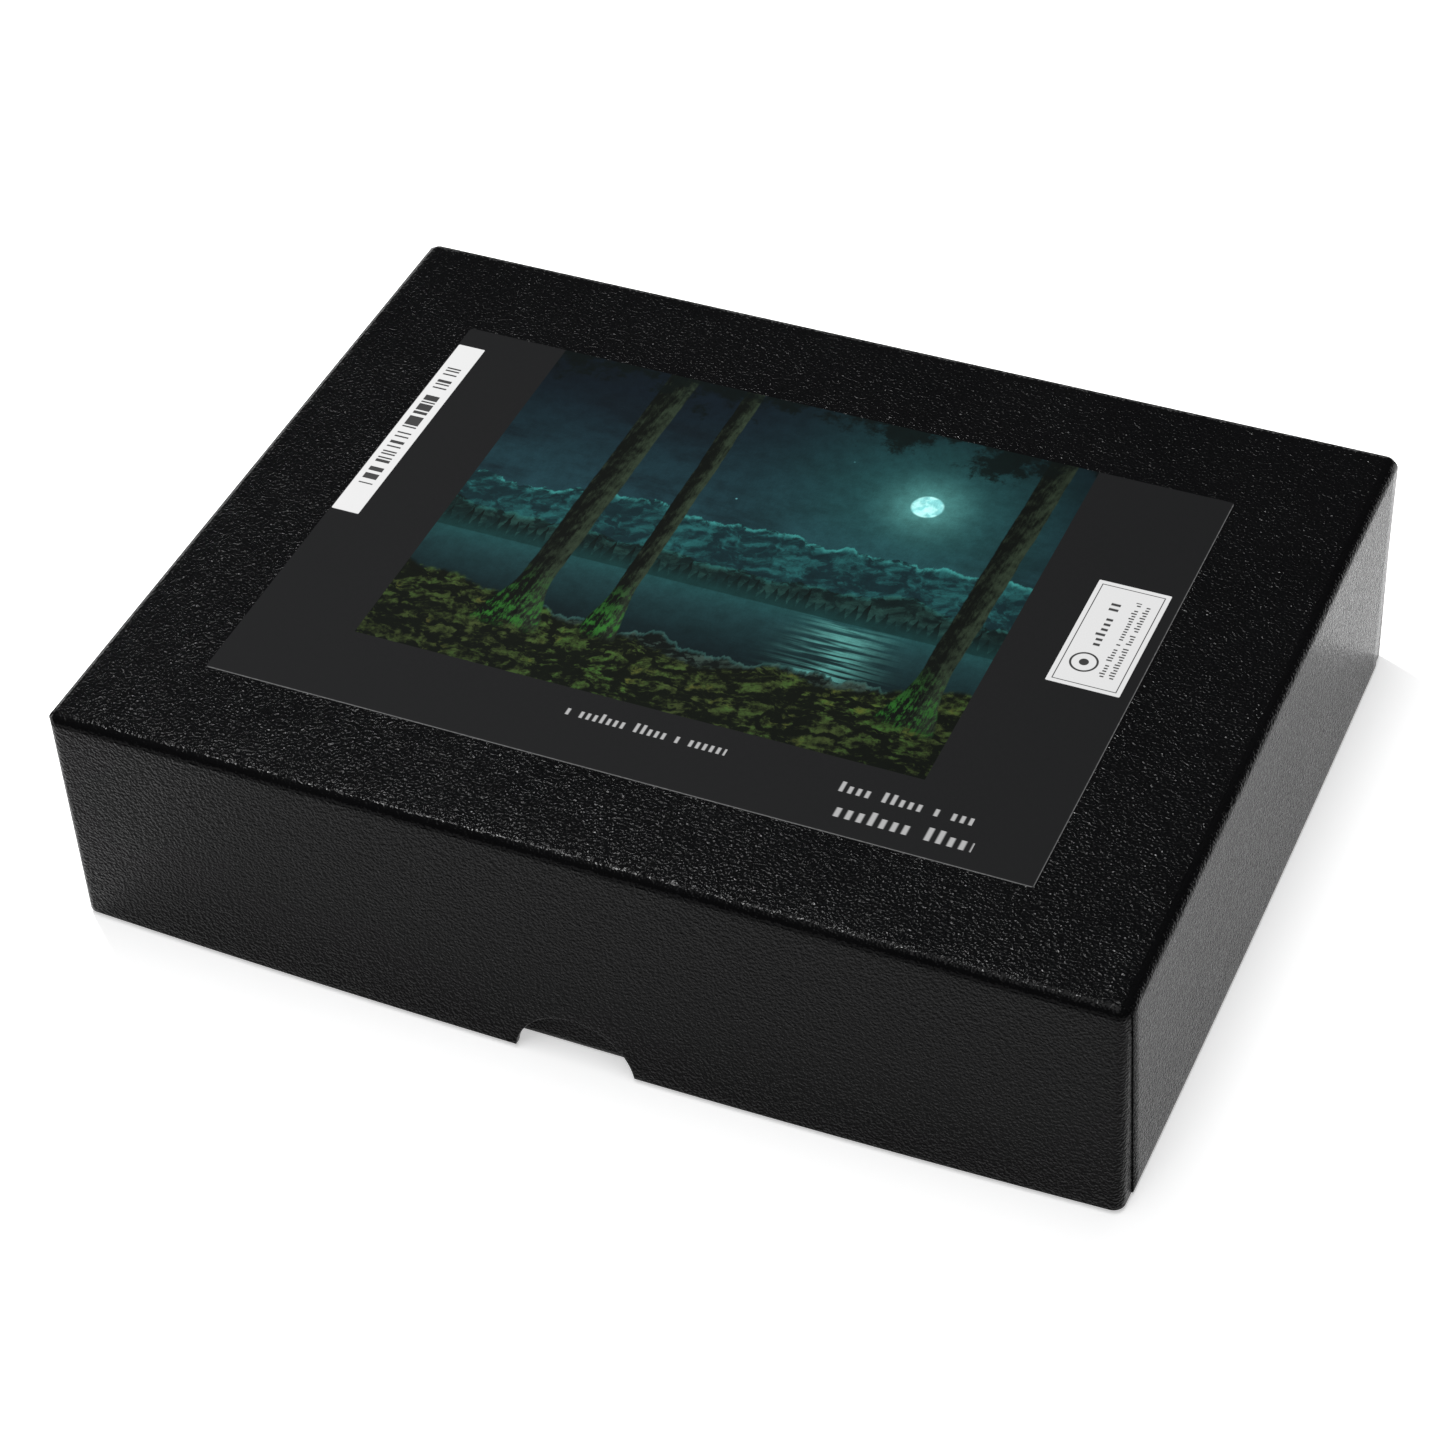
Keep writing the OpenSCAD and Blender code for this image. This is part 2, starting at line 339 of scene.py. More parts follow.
lid = tray_sizes("lid", open_up=False)
base = tray_sizes("base", open_up=True)
lid["loop"] = tray_loop(lid["half"], True, (FRONT_BOW, SIDE_BOW, BACK_BOW, SIDE_BOW))
base["loop"] = tray_loop(base["half"], False, (0, 0, 0, 0))
print("lid layers in mm:", {k: round(v / MM, 2) for k, v in lid.items() if isinstance(v, float)})

# %% [markdown]
# ## Leatherette wrap
# One sheet of embossed paper is drawn over each tray: up the walls, round the rim and 15 mm down
# the inside. It is swept as a single surface and Solidify gives it the paper's thickness inwards,
# so the outer face stays exactly where the CAD says.

# %% Wraps
def wrap_profile(tray):
    """Closed side, edge, wall, rim and the strip turned in."""
    inner = tray["board_in"] - tray["wrap_t"]
    turned = straight((inner, RIM_R, 1), (inner, tray["turn_in"], 0), 6)
    last = [(inner, tray["turn_in"], 0)]
    return np.concatenate([outside(0, tray["height"], EDGE_R), round_rim(0, inner, 0), turned, last])


def thicken(piece, thickness):
    """Gives a surface its thickness on the inner side."""
    wall = piece.modifiers.new("thickness", "SOLIDIFY")
    wall.thickness, wall.offset, wall.use_even_offset = thickness, -1, False
    return piece


def mark_stretch(piece, profile, height, cols):
    """Writes 1 on the rows that go over the folded edge and 0 elsewhere: there the paper is pulled
    tight, and its grain is flatter."""
    out, up = profile[:, 0], profile[:, 1]
    over = (out > -EDGE_R * 0.98) & (up > height - EDGE_R * 0.98)
    stretch = piece.data.attributes.new("stretch", "FLOAT", "POINT")
    stretch.data.foreach_set("value", np.repeat(over.astype(float), cols))


def add_wrap(name, tray):
    profile = wrap_profile(tray)
    points = in_place(sweep_profile(tray["loop"], tray["half"], profile, tray["height"]), tray)
    rows, cols = points.shape[:2]
    piece = new_piece(name, points, capped_faces(rows, cols, last=False, flip=tray["open_up"]))
    mark_stretch(piece, profile, tray["height"], cols)
    return thicken(piece, tray["wrap_t"])


lid_skin = add_wrap("lid_leatherette", lid)
base_skin = add_wrap("base_leatherette", base)
print("wraps:", len(lid_skin.data.vertices), "and", len(base_skin.data.vertices), "vertices")

# %% [markdown]
# ## Corner seams
# At each corner the paper of the long wall is pasted a few millimetres round on to the short wall,
# and the short wall's flap comes down over it. The flap is cut slanting, so the seam starts close
# to the corner at the top and runs away from it towards the rim. It is a second thickness of paper
# over the short wall, blended into the top edge, and its cut edges are the seams.

# %% Side flaps
SEAM_TOP, SEAM_RIM = 2.0 * MM, 6.4 * MM
FLAP_T = 0.32 * MM


def add_side_flap(name, tray, side):
    """A grid across the short wall: each row runs between the two slanting seams at its height,
    at y = share * (half width - seam), and stands out by the paper's thickness past the edge."""
    half, height = tray["half"], tray["height"]
    profile = wrap_profile(tray)[len(RINGS):]
    out, up, _ = profile.T
    inner = tray["board_in"] - tray["wrap_t"]
    over_edge = np.clip((out + EDGE_R) / EDGE_R, 0, 1) * (up > height / 2) + (up <= height / 2)
    middle = inner / 2
    outwards = np.where(out > middle, 1.0, -1.0)
    out = out + outwards * FLAP_T * over_edge
    down = np.clip((height - up) / height, 0, 1)
    seam = SEAM_TOP + (SEAM_RIM - SEAM_TOP) * down
    share = np.linspace(-1, 1, 49)
    y = share[None, :] * (half[1] - seam)[:, None]
    bow = SIDE_BOW if not tray["open_up"] else 0
    bulge = bow * (1 - (y / half[1]) ** 2) * down[:, None] ** 1.4
    x = side * (half[0] + out[:, None] + bulge)
    points = in_place(np.stack([x, y, up[:, None] + 0 * y], -1), tray)
    rows, cols = points.shape[:2]
    faces = grid_faces(rows, cols, closed=False, flip=(side < 0) != tray["open_up"]).tolist()
    return thicken(new_piece(name, points, faces), FLAP_T)


flaps = {
    "lid": [add_side_flap("lid_flap_right", lid, 1), add_side_flap("lid_flap_left", lid, -1)],
    "tray": [add_side_flap("base_flap_right", base, 1), add_side_flap("base_flap_left", base, -1)],
}
print("flaps:", [flap.name for pair in flaps.values() for flap in pair])

# %% [markdown]
# ## Chipboard and lining
# The board shows only as the edge of the thumb notch and where a corner is knocked, but it carries
# the wrap, so it is a real closed solid with the same bow. The lining is the white paper that the
# board is faced with inside. It stops where the wrap is turned in.

# %% Boards and linings
def board_profile(tray):
    """A folded blank: outer face, raw rim, inner face and the inside of the closed side."""
    outer, inner, paper = tray["board_out"], tray["board_in"], tray["wrap_t"]
    ceiling = tray["height"] - paper - (outer - inner)
    rim = [(outer, paper, 1), (inner, paper, 1)]
    inside = straight((inner, paper, 1), (inner, ceiling, 0), WALL_ROWS)
    deep = [(inner, ceiling, 0)] + [(inner - ring * MM, ceiling, 0) for ring in RINGS[::-1]]
    return np.concatenate([outside(outer, tray["height"] - paper, EDGE_R - paper), rim, inside, deep])


def lining_profile(tray):
    """Down the outside of the lining and back up its inside, with the cut edge between them."""
    outer, paper = tray["board_in"], tray["wrap_t"]
    ceiling = tray["height"] - paper - (tray["board_out"] - outer)
    inner, low = outer - LINING_T, tray["turn_in"]
    back = [(outer - ring * MM, ceiling, 0) for ring in RINGS] + [(outer, ceiling, 0)]
    down = straight((outer, ceiling, 0), (outer, low, 0), 12)
    cut = [(outer, low, 0), (inner, low, 0)]
    up = straight((inner, low, 0), (inner, ceiling - LINING_T, 0), 12)
    deep = [(inner, ceiling - LINING_T, 0)]
    deep += [(inner - ring * MM, ceiling - LINING_T, 0) for ring in RINGS[::-1]]
    return np.concatenate([back, down, cut, up, deep])


def add_shell(name, tray, profile):
    """A closed solid swept from a profile that comes back on the inside."""
    points = in_place(sweep_profile(tray["loop"], tray["half"], profile, tray["height"]), tray)
    rows, cols = points.shape[:2]
    return new_piece(name, points, capped_faces(rows, cols, flip=tray["open_up"]), smooth=False)


boards = {"lid": add_shell("lid_chipboard", lid, board_profile(lid)),
          "tray": add_shell("base_chipboard", base, board_profile(base))}
linings = {"lid": add_shell("lid_white_lining", lid, lining_profile(lid)),
           "tray": add_shell("base_white_lining", base, lining_profile(base))}
print("board faces:", {body: len(board.data.polygons) for body, board in boards.items()})

# %% [markdown]
# ## Label and stickers
# The label is one printed sheet, and the stickers lie on it. They are thin plates with rounded
# outlines. Each carries a UV map in millimetres from the label's lower left corner, because the print
# is laid out in millimetres. The cut edges are a second material: bare paper. The fine light line
# along the front and the right of the label is partly these edges and partly a painted highlight on
# the print.

# %% Printed sheets
def sheet_outline(low, high, radius, steps=6):
    """A rectangle with quarter-circle corners, anticlockwise."""
    quarter = np.radians(np.linspace(0, 90, steps))
    centres = [(high.x - radius, high.y - radius, 0), (low.x + radius, high.y - radius, 90),
               (low.x + radius, low.y + radius, 180), (high.x - radius, low.y + radius, 270)]
    parts = []
    for cx, cy, start in centres:
        turn = quarter + math.radians(start)
        parts.append(np.stack([cx + radius * np.cos(turn), cy + radius * np.sin(turn)], -1))
    return np.concatenate(parts)


def write_print_map(mesh, places):
    """Gives each face corner the place in the print of the vertex that it touches."""
    uv = mesh.uv_layers.new(name="print")
    spots = np.zeros(len(mesh.loops), np.int32)
    mesh.loops.foreach_get("vertex_index", spots)
    uv.data.foreach_set("uv", places.reshape(-1, 2)[spots].ravel())


def add_sheet(name, node, radius):
    """A flat sheet in the place of a CAD node, with its top face, its underside and its cut edge."""
    low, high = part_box(node)
    ring = sheet_outline(low, high, radius)
    points = np.stack([np.column_stack([ring, np.full(len(ring), z)]) for z in (high.z, low.z)])
    piece = new_piece(name, points, capped_faces(2, len(ring)), smooth=False)
    mesh = piece.data
    write_print_map(mesh, (points[..., :2] - np.array(low[:2])) / MM)
    edge = np.ones(len(mesh.polygons), np.int32)
    edge[-2] = 0
    mesh.polygons.foreach_set("material_index", edge)
    return piece


label = add_sheet("printed_label", "lid_label", 0.8 * MM)
bar_strip = add_sheet("bar_strip", "barcode_sticker", 0.3 * MM)
notice = add_sheet("framed_notice", "notice_sticker", 0.3 * MM)
label_low, label_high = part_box("lid_label")
print("label in mm:", [round(v / MM, 1) for v in (label_high - label_low)])

# %% [markdown]
# ## Five hundred and twenty loose pieces
# A jigsaw is stamped from one picture with a grid of wavy blades, so every knob has its socket on
# the neighbour. Each seam between two pieces gets a number, and the golden ratio turns that number
# into a direction and a small shift for the knob, which both neighbours read. The pieces then lie
# in the bag in layers, each turned by the golden angle, the top ones leaning on the others. All of
# it is the same rule that the CAD model uses, worked out here for all pieces at once.

# %% Cut of the puzzle
COLS, ROWS = 26, 20
PUZZLE_L, PUZZLE_W = 508 * MM, 406.4 * MM
PIECE_T, CUT_W = 1.9 * MM, 0.1 * MM
KNOB_R, KNOB_OUT, KNOB_DRIFT = 2.9 * MM, 2.2 * MM, 1.2 * MM
GOLDEN = 0.618034
cell = np.array([PUZZLE_L / COLS, PUZZLE_W / ROWS])


def part_of(value):
    """What is left of a number after its whole part."""
    return value - np.floor(value)


def seam_facts(number):
    """Which way the knob points across a seam, 1 or -1, and how far off middle it sits."""
    way = np.where(part_of(number * GOLDEN) < 0.5, 1, -1)
    return way, (2 * part_of(number * GOLDEN * 7) - 1) * KNOB_DRIFT


def seam_right(i, j):
    return seam_facts(37 * i + 61 * j)


def seam_above(i, j):
    return seam_facts(53 * i + 29 * j + 11)


col, row = (a.ravel() for a in np.meshgrid(np.arange(COLS), np.arange(ROWS)))
right_way, right_shift = seam_right(col, row)
above_way, above_shift = seam_above(col, row)
left_way, left_shift = seam_right(col - 1, row)
below_way, below_shift = seam_above(col, row - 1)
# Sides in the order right, back, left, front: 1 is a knob, -1 a socket and 0 a straight edge
way = np.stack([
    right_way * (col < COLS - 1), above_way * (row < ROWS - 1),
    -left_way * (col > 0), -below_way * (row > 0)], -1)
shift = np.stack([right_shift, -above_shift, -left_shift, below_shift], -1)
print("pieces:", way.shape[0], "with straight sides:", int((way == 0).any(1).sum()))

# %% [markdown]
# An outline is four sides, each a corner point and then nine points over its knob or socket. A
# straight side has its nine points in line, so that all outlines have the same number of points
# and one array holds them all. The arc of a knob starts and ends where its circle, whose centre
# stands off the side by a little less than its radius, crosses the side.

# %% Outlines
ARC_POINTS = 9


def piece_outlines():
    """Outline points of every piece, anticlockwise about the middle of its cell. On a side turned
    to face right, a knob point is centre + r (cos a, sin a), with a running over the far side of
    the circle; a socket's runs over the near side."""
    half = cell / 2
    t = np.linspace(-1, 1, ARC_POINTS)
    sides = []
    for k in range(4):
        face, end = half[k % 2], half[1 - k % 2] - CUT_W / 2
        sign, slide = way[:, k, None], shift[:, k, None]
        r = KNOB_R - sign * CUT_W / 2
        lip = face - CUT_W / 2
        centre = face + sign * KNOB_OUT
        opening = np.arccos(np.clip((lip - centre) * -sign / r, -1, 1))
        turn = np.where(sign > 0, t * (math.pi - opening), -opening - (t + 1) * (math.pi - opening))
        x = np.where(sign == 0, lip, centre + r * np.cos(turn))
        y = np.where(sign == 0, t * end * 0.8, slide + r * np.sin(turn))
        x = np.concatenate([np.full((len(x), 1), lip), x], 1)
        y = np.concatenate([np.full((len(y), 1), -end), y], 1)
        c, s = round(math.cos(k * math.pi / 2)), round(math.sin(k * math.pi / 2))
        sides.append(np.stack([c * x - s * y, s * x + c * y], -1))
    return np.concatenate(sides, 1)


outlines = piece_outlines()
print("outline points per piece:", outlines.shape[1])

# %% [markdown]
# Loose pieces could be dropped by a physics solver, but then the heap would differ from the CAD
# model's. Instead each piece's number is shuffled into a place: a layer, a row and a column. Above
# the flat layers each layer leans by one more step, which needs more height, so the heights of the
# layers' middles are a running sum. Two in five lie face down.

# %% Places in the heap
HEAP_COLS, HEAP_ROWS, HEAP_PITCH, HEAP_ROW_PITCH = 7, 6, 31.4 * MM, 28.4 * MM
SHUFFLE_STEP, PLACE_STEP = 197, 5
FLAT_LAYERS, LEAN_STEP, LAYER_GAP = 11, 6.0, 0.15 * MM
REACH = float(np.hypot(*cell)) / 2 + 1.4 * MM
FILM_GAP = 0.45 * MM


def layer_middles(count, floor_z):
    """Heights of the layers' middles: each takes its pieces' thickness, the gap, and the room its
    lean needs, twice the reach times the sine of the lean."""
    leans = np.maximum(0, np.arange(count) - FLAT_LAYERS + 1) * LEAN_STEP
    room = 2 * REACH * np.sin(np.radians(leans)) + PIECE_T + LAYER_GAP
    return floor_z + np.cumsum(room) - room / 2, leans


def spin(axis, degrees):
    """Rotation matrices about X or Z, one for each angle."""
    turn = np.radians(np.asarray(degrees, float))
    c, s, one, nil = np.cos(turn), np.sin(turn), np.ones_like(turn), np.zeros_like(turn)
    if axis == "x":
        rows = [[one, nil, nil], [nil, c, -s], [nil, s, c]]
    else:
        rows = [[c, -s, nil], [s, c, nil], [nil, nil, one]]
    return np.moveaxis(np.array(rows), 2, 0)


slot_number = (row * COLS + col) * SHUFFLE_STEP % (COLS * ROWS)
layer = slot_number // (HEAP_COLS * HEAP_ROWS)
place = slot_number * PLACE_STEP % (HEAP_COLS * HEAP_ROWS)
heap_row = place // HEAP_COLS
bag_low, bag_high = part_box("piece_bag")
middles, leans = layer_middles(int(layer.max()) + 1, bag_low.z + FILM_GAP)
row_shift = np.where((heap_row + layer) % 2 == 0, -HEAP_PITCH / 4, HEAP_PITCH / 4)
centres = np.stack([
    (place % HEAP_COLS - (HEAP_COLS - 1) / 2) * HEAP_PITCH + row_shift,
    (heap_row - (HEAP_ROWS - 1) / 2) * HEAP_ROW_PITCH,
    middles[layer]], -1)
turn = 360 * part_of(slot_number * GOLDEN)
lean_way = 360 * part_of(slot_number * GOLDEN * 3)
face_down = part_of(slot_number * GOLDEN * 5) < 0.4
attitude = spin("z", lean_way) @ spin("x", leans[layer]) @ spin("z", turn - lean_way)
attitude = attitude @ spin("x", np.where(face_down, 180.0, 0.0))
print("layers:", len(middles), "face down:", int(face_down.sum()))

# %% [markdown]
# All pieces of one kind share a mesh: one array holds every outline twice, as printed face and as
# back, and one product of matrices turns them all. The last lines compare each mesh with the box
# of the CAD node that it replaces.

# %% Piece meshes
def piece_faces(points_each):
    """Faces of one piece: printed top, back, and a quad for each step of its cut edge."""
    ring = np.arange(points_each)
    after = (ring + 1) % points_each
    walls = np.stack([ring + points_each, after + points_each, after, ring], -1)
    return [ring.tolist(), (ring + points_each)[::-1].tolist()] + walls.tolist()


def add_pieces(name, chosen):
    """All chosen pieces in one mesh. The print map holds each point's place in the made-up
    picture, with the picture's height as 1."""
    outline = outlines[chosen]
    count, each = outline.shape[:2]
    thick = np.array([PIECE_T / 2, -PIECE_T / 2])
    local = np.zeros((count, 2, each, 3))
    local[..., :2] = outline[:, None]
    local[..., 2] = thick[None, :, None]
    points = np.einsum("nij,nabj->nabi", attitude[chosen], local) + centres[chosen][:, None, None]
    faces = [[v + n * 2 * each for v in face] for n in range(count) for face in piece_faces(each)]
    piece = new_piece(name, points, faces, smooth=False)
    home = (np.stack([col[chosen], row[chosen]], -1) + 0.5) * cell
    place_in_print = (home[:, None, None] + local[..., :2]) / PUZZLE_W
    mesh = piece.data
    write_print_map(mesh, place_in_print)
    raw = np.ones((count, each + 2), np.int32)
    raw[:, 0] = 0
    mesh.polygons.foreach_set("material_index", raw.ravel())
    return piece


straight_sides = (way == 0).sum(1)
knob_count = (way > 0).sum(1)
groups = {"corner_pieces": straight_sides == 2, "edge_pieces": straight_sides == 1}
for knobs in range(5):
    node = f"inner_pieces_{knobs}_knob" + ("" if knobs == 1 else "s")
    groups[node] = (straight_sides == 0) & (knob_count == knobs)
heap = {node: add_pieces("loose_" + node, chosen) for node, chosen in groups.items()}
for node, piece in heap.items():
    low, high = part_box(node)
    corner = np.array([v.co for v in piece.data.vertices])
    off = max(np.abs(corner.min(0) - low).max(), np.abs(corner.max(0) - high).max())
    print(f"{node}: {int(groups[node].sum())} pieces, box off the CAD's by {off / MM:.2f} mm")

# %% [markdown]
# ## The bag
# A thin film lies on its contents like a sheet: its height anywhere is that of the highest piece
# nearby, smoothed. A cloth solver could be asked for it, but none was tried here. A grid of the
# pieces' highest corners, widened and blurred, is quick. Inside the bag's outermost strip it is
# held above those corners; in the strip the film runs down to the side, whatever lies below.

# %% Film over the heap
FILM_CELL = 4 * MM


def spread(field, passes, widest=True):
    """Widens (highest of each cell and its neighbours) or blurs (their mean), several times."""
    for _ in range(passes):
        edge = np.pad(field, 1, mode="edge")
        around = [edge[1 + a:edge.shape[0] - 1 + a, 1 + b:edge.shape[1] - 1 + b]
                  for a in (-1, 0, 1) for b in (-1, 0, 1)]
        field = np.max(around, 0) if widest else np.mean(around, 0)
    return field


def heap_sheet():
    """Height of a sheet laid over the pieces, on a grid of FILM_CELL squares over the bag."""
    tops = np.concatenate([np.array([v.co for v in p.data.vertices]) for p in heap.values()])
    size = np.ceil((np.array(bag_high[:2]) - np.array(bag_low[:2])) / FILM_CELL).astype(int) + 1
    field = np.full(size, float(middles[FLAT_LAYERS - 1]))
    spot = np.round((tops[:, :2] - np.array(bag_low[:2])) / FILM_CELL).astype(int)
    np.maximum.at(field, (spot[:, 0], spot[:, 1]), tops[:, 2])
    held_up = spread(field, 1) + 0.4 * MM
    soft = spread(spread(field, 2), 3, widest=False)
    lifted = spread(np.maximum(soft, held_up), 1, widest=False)
    return np.maximum(lifted, held_up)


sheet_field = heap_sheet()


def read_field(x, y):
    """The sheet's height at any place, between the four nearest grid points."""
    fx = np.clip((x - bag_low.x) / FILM_CELL, 0, sheet_field.shape[0] - 1.001)
    fy = np.clip((y - bag_low.y) / FILM_CELL, 0, sheet_field.shape[1] - 1.001)
    i, j = fx.astype(int), fy.astype(int)
    a, b = fx - i, fy - j
    return (sheet_field[i, j] * (1 - a) * (1 - b) + sheet_field[i + 1, j] * a * (1 - b)
            + sheet_field[i, j + 1] * (1 - a) * b + sheet_field[i + 1, j + 1] * a * b)


# %% [markdown]
# Sharp little ridges are added where the film creases, and the sides of the bag have upright
# gathers. The bag is one closed surface. The sealed ends of a real bag are left out.

# %% Creases and gathers
FILM_SEED, CREASES = 7, 34
# The outermost strip starts at this share of the way out, and is this wide
STRIP_START, STRIP_WIDTH = 0.97, 0.03
SQUARENESS, GATHER_DEPTH = 0.16, 0.5 * MM


def creases(x, y):
    """A sum of sharp ridges, each a line across the film: height falls off on both sides of the
    line as exp(-distance / width), and along it as a wide bell."""
    draw = np.random.default_rng(FILM_SEED)
    total = np.zeros_like(x)
    for _ in range(CREASES):
        at = draw.uniform((-0.11, -0.08), (0.11, 0.08))
        direction = draw.uniform(0, math.pi)
        run, across = np.array([math.cos(direction), math.sin(direction)]), draw.uniform(1.2, 3.0) * MM
        along = (x - at[0]) * run[0] + (y - at[1]) * run[1]
        aside = -(x - at[0]) * run[1] + (y - at[1]) * run[0]
        reach = draw.uniform(14, 45) * MM
        total += draw.uniform(0.5, 1.5) * MM * np.exp(-np.abs(aside) / across - (along / reach) ** 2)
    return total


def film_surface():
    """Rows from the middle of the underside, out, up the sides and in over the top. A point of a
    ring is its share of the rounded rectangle; top rows take the sheet's height and the creases."""
    half = np.array([bag_high.x, bag_high.y]) - 0.2 * MM
    turn = np.linspace(0, 2 * math.pi, 320, endpoint=False)
    round_x = np.sign(np.cos(turn)) * np.abs(np.cos(turn)) ** SQUARENESS
    round_y = np.sign(np.sin(turn)) * np.abs(np.sin(turn)) ** SQUARENESS
    rim_height = read_field(round_x * half[0] * STRIP_START, round_y * half[1] * STRIP_START)
    gather = GATHER_DEPTH * np.abs(np.sin(turn * 37 + 2 * np.sin(turn * 5)))
    rows = []
    for share in (0.15, 0.6, 0.97, 1.0):
        rows.append((share, np.full_like(turn, bag_low.z + (0.6 * MM if share == 1.0 else 0))))
    for up in np.linspace(0.08, 0.94, 12):
        rows.append((1.0, bag_low.z + (rim_height - bag_low.z) * up))
    for share in np.concatenate([[0.995, 0.985], np.linspace(0.97, 0.04, 64)]):
        rows.append((share, None))
    points = []
    for share, z in rows:
        inward = gather if z is not None and share == 1.0 else 0 * turn
        x, y = round_x * (half[0] * share - inward), round_y * (half[1] * share - inward)
        if z is None:
            lift = np.clip((1 - share) / STRIP_WIDTH, 0, 1)
            z = read_field(x, y) + creases(x, y) * lift
            z = rim_height * (1 - lift) + z * lift
        points.append(np.stack([x, y, np.minimum(z, bag_high.z + 4 * MM)], -1))
    return np.array(points)


film_points = film_surface()
film = new_piece("clear_bag", film_points, capped_faces(*film_points.shape[:2], flip=True))
print("bag's top between", np.round(film_points[20:, :, 2].min() / MM, 1), "and",
      np.round(film_points[..., 2].max() / MM, 1), "mm")

# %% [markdown]
# ## Numbers between nodes
# A procedural material is arithmetic on a point's place. Written as nodes it takes a dozen lines
# per formula, so a small class stands for a number on its way between two nodes: adding or
# multiplying it adds a Math node, and the formulas below read as plain formulas.

# %% Wires
class Wire:
    """A number or colour that leaves a node. Arithmetic on it adds Math nodes to its tree."""

    def __init__(self, tree, socket):
        self.tree, self.socket = tree, socket

    def math(self, operation, *others):
        node = self.tree.nodes.new("ShaderNodeMath")
        node.operation = operation
        for spot, value in zip(node.inputs, (self, *others)):
            plug(self.tree, spot, value)
        return Wire(self.tree, node.outputs[0])

    def __add__(self, other):
        return self.math("ADD", other)

    def __sub__(self, other):
        return self.math("SUBTRACT", other)

    def __rsub__(self, other):
        return self.math("MULTIPLY_ADD", -1.0, other)

    def __mul__(self, other):
        return self.math("MULTIPLY", other)

    def __truediv__(self, other):
        return self.math("DIVIDE", other)

    def __pow__(self, other):
        return self.math("POWER", other)

    def __abs__(self):
        return self.math("ABSOLUTE")

    def above(self, level):
        return self.math("GREATER_THAN", level)

    def whole(self):
        return self.math("FLOOR")

    def rest(self):
        return self.math("FRACT")

    __radd__, __rmul__ = __add__, __mul__


def plug(tree, spot, value):
    """Links a wire to an input, or writes a plain number or colour into it."""
    if isinstance(value, Wire):
        tree.links.new(value.socket, spot)
    else:
        spot.default_value = value


# %% [markdown]
# The shapes that every pattern here is built from: a soft step, a bell, a place made of numbers,
# noise, scattered cells, chance, and one colour laid over another.

# %% Patterns
def smooth(value, low, high, to_low=0.0, to_high=1.0):
    """An S-shaped step from to_low at low to to_high at high, or the other way if low > high."""
    node = value.tree.nodes.new("ShaderNodeMapRange")
    node.interpolation_type = "SMOOTHSTEP"
    if low > high:
        low, high, to_low, to_high = high, low, to_high, to_low
    for spot, setting in zip(node.inputs, (value, low, high, to_low, to_high)):
        plug(value.tree, spot, setting)
    return Wire(value.tree, node.outputs[0])


def bell(value, middle, width):
    """exp(-((value - middle) / width) squared)."""
    away = (value - middle) / width
    return (away * away * -1.0).math("EXPONENT")


def point(x, y, z=0.0):
    """A place made of wires."""
    node = x.tree.nodes.new("ShaderNodeCombineXYZ")
    for spot, value in zip(node.inputs, (x, y, z)):
        plug(x.tree, spot, value)
    return Wire(x.tree, node.outputs[0])


def split(place):
    node = place.tree.nodes.new("ShaderNodeSeparateXYZ")
    plug(place.tree, node.inputs[0], place)
    return [Wire(place.tree, out) for out in node.outputs]


def noise(place, scale, detail=3.0, rough=0.5):
    """Fractal noise about 0.5."""
    node = place.tree.nodes.new("ShaderNodeTexNoise")
    for name, value in zip(("Vector", "Scale", "Detail", "Roughness"), (place, scale, detail, rough)):
        plug(place.tree, node.inputs[name], value)
    return Wire(place.tree, node.outputs[0])


def cells(place, scale, output="Distance", feature="F1"):
    """Distance to the nearest of many scattered seeds, or a colour that is chosen for each."""
    node = place.tree.nodes.new("ShaderNodeTexVoronoi")
    node.feature = feature
    plug(place.tree, node.inputs["Vector"], place)
    node.inputs["Scale"].default_value = scale
    return Wire(place.tree, node.outputs[output])


def chance(value, seed=0.0):
    """A random number from 0 to 1 that stays the same for the same value."""
    node = value.tree.nodes.new("ShaderNodeTexWhiteNoise")
    node.noise_dimensions = "1D"
    plug(value.tree, node.inputs["W"], value + seed)
    return Wire(value.tree, node.outputs["Value"])


def blend(share, under, over):
    """The colour over laid on the colour under by a share from 0 to 1. One of them is a wire."""
    tree = next(value.tree for value in (share, under, over) if isinstance(value, Wire))
    node = tree.nodes.new("ShaderNodeMix")
    node.data_type = "RGBA"
    plug(tree, node.inputs[0], share)
    for spot, value in ((6, under), (7, over)):
        plug(tree, node.inputs[spot], value if isinstance(value, Wire) else (*value, 1.0))
    return Wire(tree, node.outputs[2])


# %% [markdown]
# ## A landscape by night
# The label and the puzzle carry the same picture, so it is one node group, read by both. Its subject
# is a plain one: the moon over a lake, with hills behind it and pines in front. Places in it are in
# picture heights, 0 to 1.25 across and 0 to 1 up. Rock and bark could be painted by hand, but here
# they are noise lit from one side: the noise here less the noise a little towards the light.

# %% Brushes for the picture
TO_LIGHT = (-0.010, 0.012, 0.0)


def relief(place, scale, detail, rough=0.6):
    """Noise lit from one side, about 0.5."""
    moved = place.tree.nodes.new("ShaderNodeVectorMath")
    plug(place.tree, moved.inputs[0], place)
    moved.inputs[1].default_value = TO_LIGHT
    there = Wire(place.tree, moved.outputs[0])
    return (noise(place, scale, detail, rough) - noise(there, scale, detail, rough)) * 4.0 + 0.5


def crevices(place, scale, width):
    """0 in thin dark clefts that wander over stone or soil, 1 between them."""
    return smooth(abs(noise(place, scale, 7.0, 0.58) - 0.5), 0.0, width)


